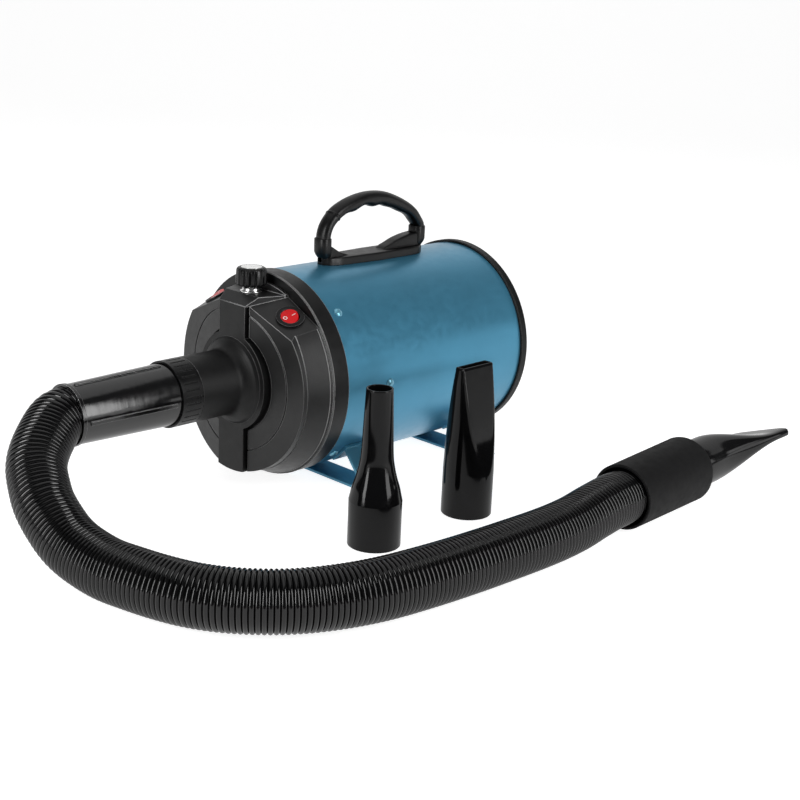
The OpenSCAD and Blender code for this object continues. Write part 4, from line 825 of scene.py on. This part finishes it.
# ------------------------------------------------------------------ rivets
RIVET_HEAD = rounded([(0.01, 0, 0), (4.0, 0, 0.15), (4.05, 0.45, 0.3), (3.3, 1.35, 0.9), (1.7, 2.0, 0.9),
                      (0.01, 2.1, 0)])
RIVET_CORE, SHANK_R, SHANK_IN_HEAD = 0.01, 1.8, 0.3
TAIL_R, TAIL_H = 3.0, 1.5
RIVET_SIDES = 40
STRAP_R = 89.9                         # radius at which the rivets of the stands sit
STAND_RIVET = 42                       # their angle to each side of straight down, degrees


def disc_outline(r, low, high):
    """Outline of a turned disc or pin."""
    return np.array([(RIVET_CORE, low), (r, low), (r, high), (RIVET_CORE, high)])


def rivets(name, node, spots):
    """Domed rivet heads with shanks, and tails where a tail depth is given.

    Each spot is the place along the tube, the angle from the far side upwards, the radius on which the
    head sits, and the depths of shank and tail.
    """
    points, faces = [], []
    for x, a, r, depth, tail in spots:
        z = np.array([0, math.cos(math.radians(a)), math.sin(math.radians(a))])
        place = outward(AX + np.array([x, 0, 0]) + z * r, z)
        outlines = [RIVET_HEAD, disc_outline(SHANK_R, -depth, SHANK_IN_HEAD)]
        if tail:
            outlines.append(disc_outline(TAIL_R, -tail - TAIL_H, -tail))
        for outline in outlines:
            faces += flipped(skin(len(outline), RIVET_SIDES, True, len(points)))
            points += [*placed(turned(outline, RIVET_SIDES), place)]
    return piece(name, np.array(points), faces, "housing", MATERIALS["rivet"], "tube_blue", node, sharp=40)


rivets("rivets_front", "ring_screws", [(9.6, a, TUBE_R, 5.8, 0) for a in (45, 135, 225, 315)])
rivets("rivets_side", "mount_screws", [(49, a, TUBE_R, 6.2, 0) for a in (0, 180)])
rivets("rivets_stand", "stand_rivets",
       [(x, -90 + s * STAND_RIVET, STRAP_R, 4.9, 3.7) for x in (31, 170) for s in (-1, 1)])


# ------------------------------------------------------------------ floor and light
FLOOR_DARK, FLOOR_LIGHT = (0.49, 0.49, 0.49), (0.51, 0.51, 0.51)
FLOOR_PATCHES, FLOOR_ROUGH, FLOOR_SHINE = 3, 0.8, 0.1
FLOOR_GLOW = 0.88                      # how bright the camera and reflections see the floor
FLOOR_START, SWEEP_START, SWEEP_R, WALL_TOP = -9.0, 2.6, 1.2, 4.0   # metres
FLOOR_HALF = 9.0                       # metres
FLOOR_DROP = 0.2 * MM                  # so that what stands at z = 0 doesn't share its plane
AWAY = np.array([0.7181, 0.6959])      # level direction in which the wall lies


def floor_material():
    """A pale floor with a glow that only the camera and reflections see."""
    m, t, b = nodes_of("floor_pale")
    patches = ranged(t, noise(t, object_coord(t), FLOOR_PATCHES, FINE_DETAIL), *NOISE_MIDDLE, 0, 1)
    t.links.new(mixed(t, patches, FLOOR_DARK, FLOOR_LIGHT), b.inputs["Base Color"])
    b.inputs["Roughness"].default_value = FLOOR_ROUGH
    b.inputs["Specular IOR Level"].default_value = FLOOR_SHINE
    b.inputs["Emission Color"].default_value = (1, 1, 1, 1)
    ray = t.nodes.new("ShaderNodeLightPath").outputs
    reflected = combined(t, "MAXIMUM", ray["Is Glossy Ray"], ray["Is Transmission Ray"])
    seen = combined(t, "MAXIMUM", ray["Is Camera Ray"], reflected)
    t.links.new(combined(t, "MULTIPLY", seen, FLOOR_GLOW), b.inputs["Emission Strength"])
    return m


def floor():
    """A sweep: floor, quarter round and wall, the wall behind the object as the camera sees it."""
    prof = [(FLOOR_START, 0.0), (SWEEP_START, 0.0)]
    prof += [(SWEEP_START + SWEEP_R * math.sin(a), SWEEP_R - SWEEP_R * math.cos(a))
             for a in np.linspace(0.1, math.pi / 2, 14)]
    prof += [(SWEEP_START + SWEEP_R, WALL_TOP)]
    side = np.array([AWAY[1], -AWAY[0]])
    points = [(*(AWAY * u + side * w), z - FLOOR_DROP) for u, z in prof for w in (-FLOOR_HALF, FLOOR_HALF)]
    me = bpy.data.meshes.new("floor")
    me.from_pydata(points, [], [(i, i + 1, i + 3, i + 2) for i in range(0, len(points) - 2, 2)])
    me.polygons.foreach_set("use_smooth", [True] * len(me.polygons))
    me.materials.append(floor_material())
    o = bpy.data.objects.new("floor", me)
    bpy.context.scene.collection.objects.link(o)


floor()


def lamp(name, at, to, width, height, radiance):
    """A softbox at one point that faces another, both in metres."""
    light = bpy.data.lights.new(name, "AREA")
    light.shape = "RECTANGLE"
    light.size, light.size_y = width, height
    light.energy = radiance * math.pi * width * height
    o = bpy.data.objects.new(name, light)
    bpy.context.scene.collection.objects.link(o)
    o.location = at
    o.rotation_mode = "QUATERNION"
    o.rotation_quaternion = (Vector(to) - Vector(at)).to_track_quat("-Z", "Y")


lamp("softbox_right", (0.27, -1.17, 0.52), (0.0, -0.1, 0.1), 0.44, 1.0, 7.2)
lamp("softbox_left", (-1.37, 0.02, 0.5), (-0.1, -0.1, 0.1), 0.32, 0.92, 11.6)
lamp("kicker", (1.1, -0.9, 0.22), (0.3, -0.28, 0.03), 0.22, 0.22, 2.0)
lamp("softbox_top", (0.1, 0.3, 2.3), (0.05, 0, 0), 2.6, 2.6, 0.8)


def make_world(colour=(0.97, 0.985, 1, 1), strength=0.1):
    """A faint cool light from all sides."""
    world = bpy.data.worlds.new("studio")
    bpy.context.scene.world = world
    world.use_nodes = True
    background = world.node_tree.nodes["Background"]
    background.inputs[0].default_value = colour
    background.inputs[1].default_value = strength


make_world()

bpy.context.scene.view_settings.view_transform = "Standard"
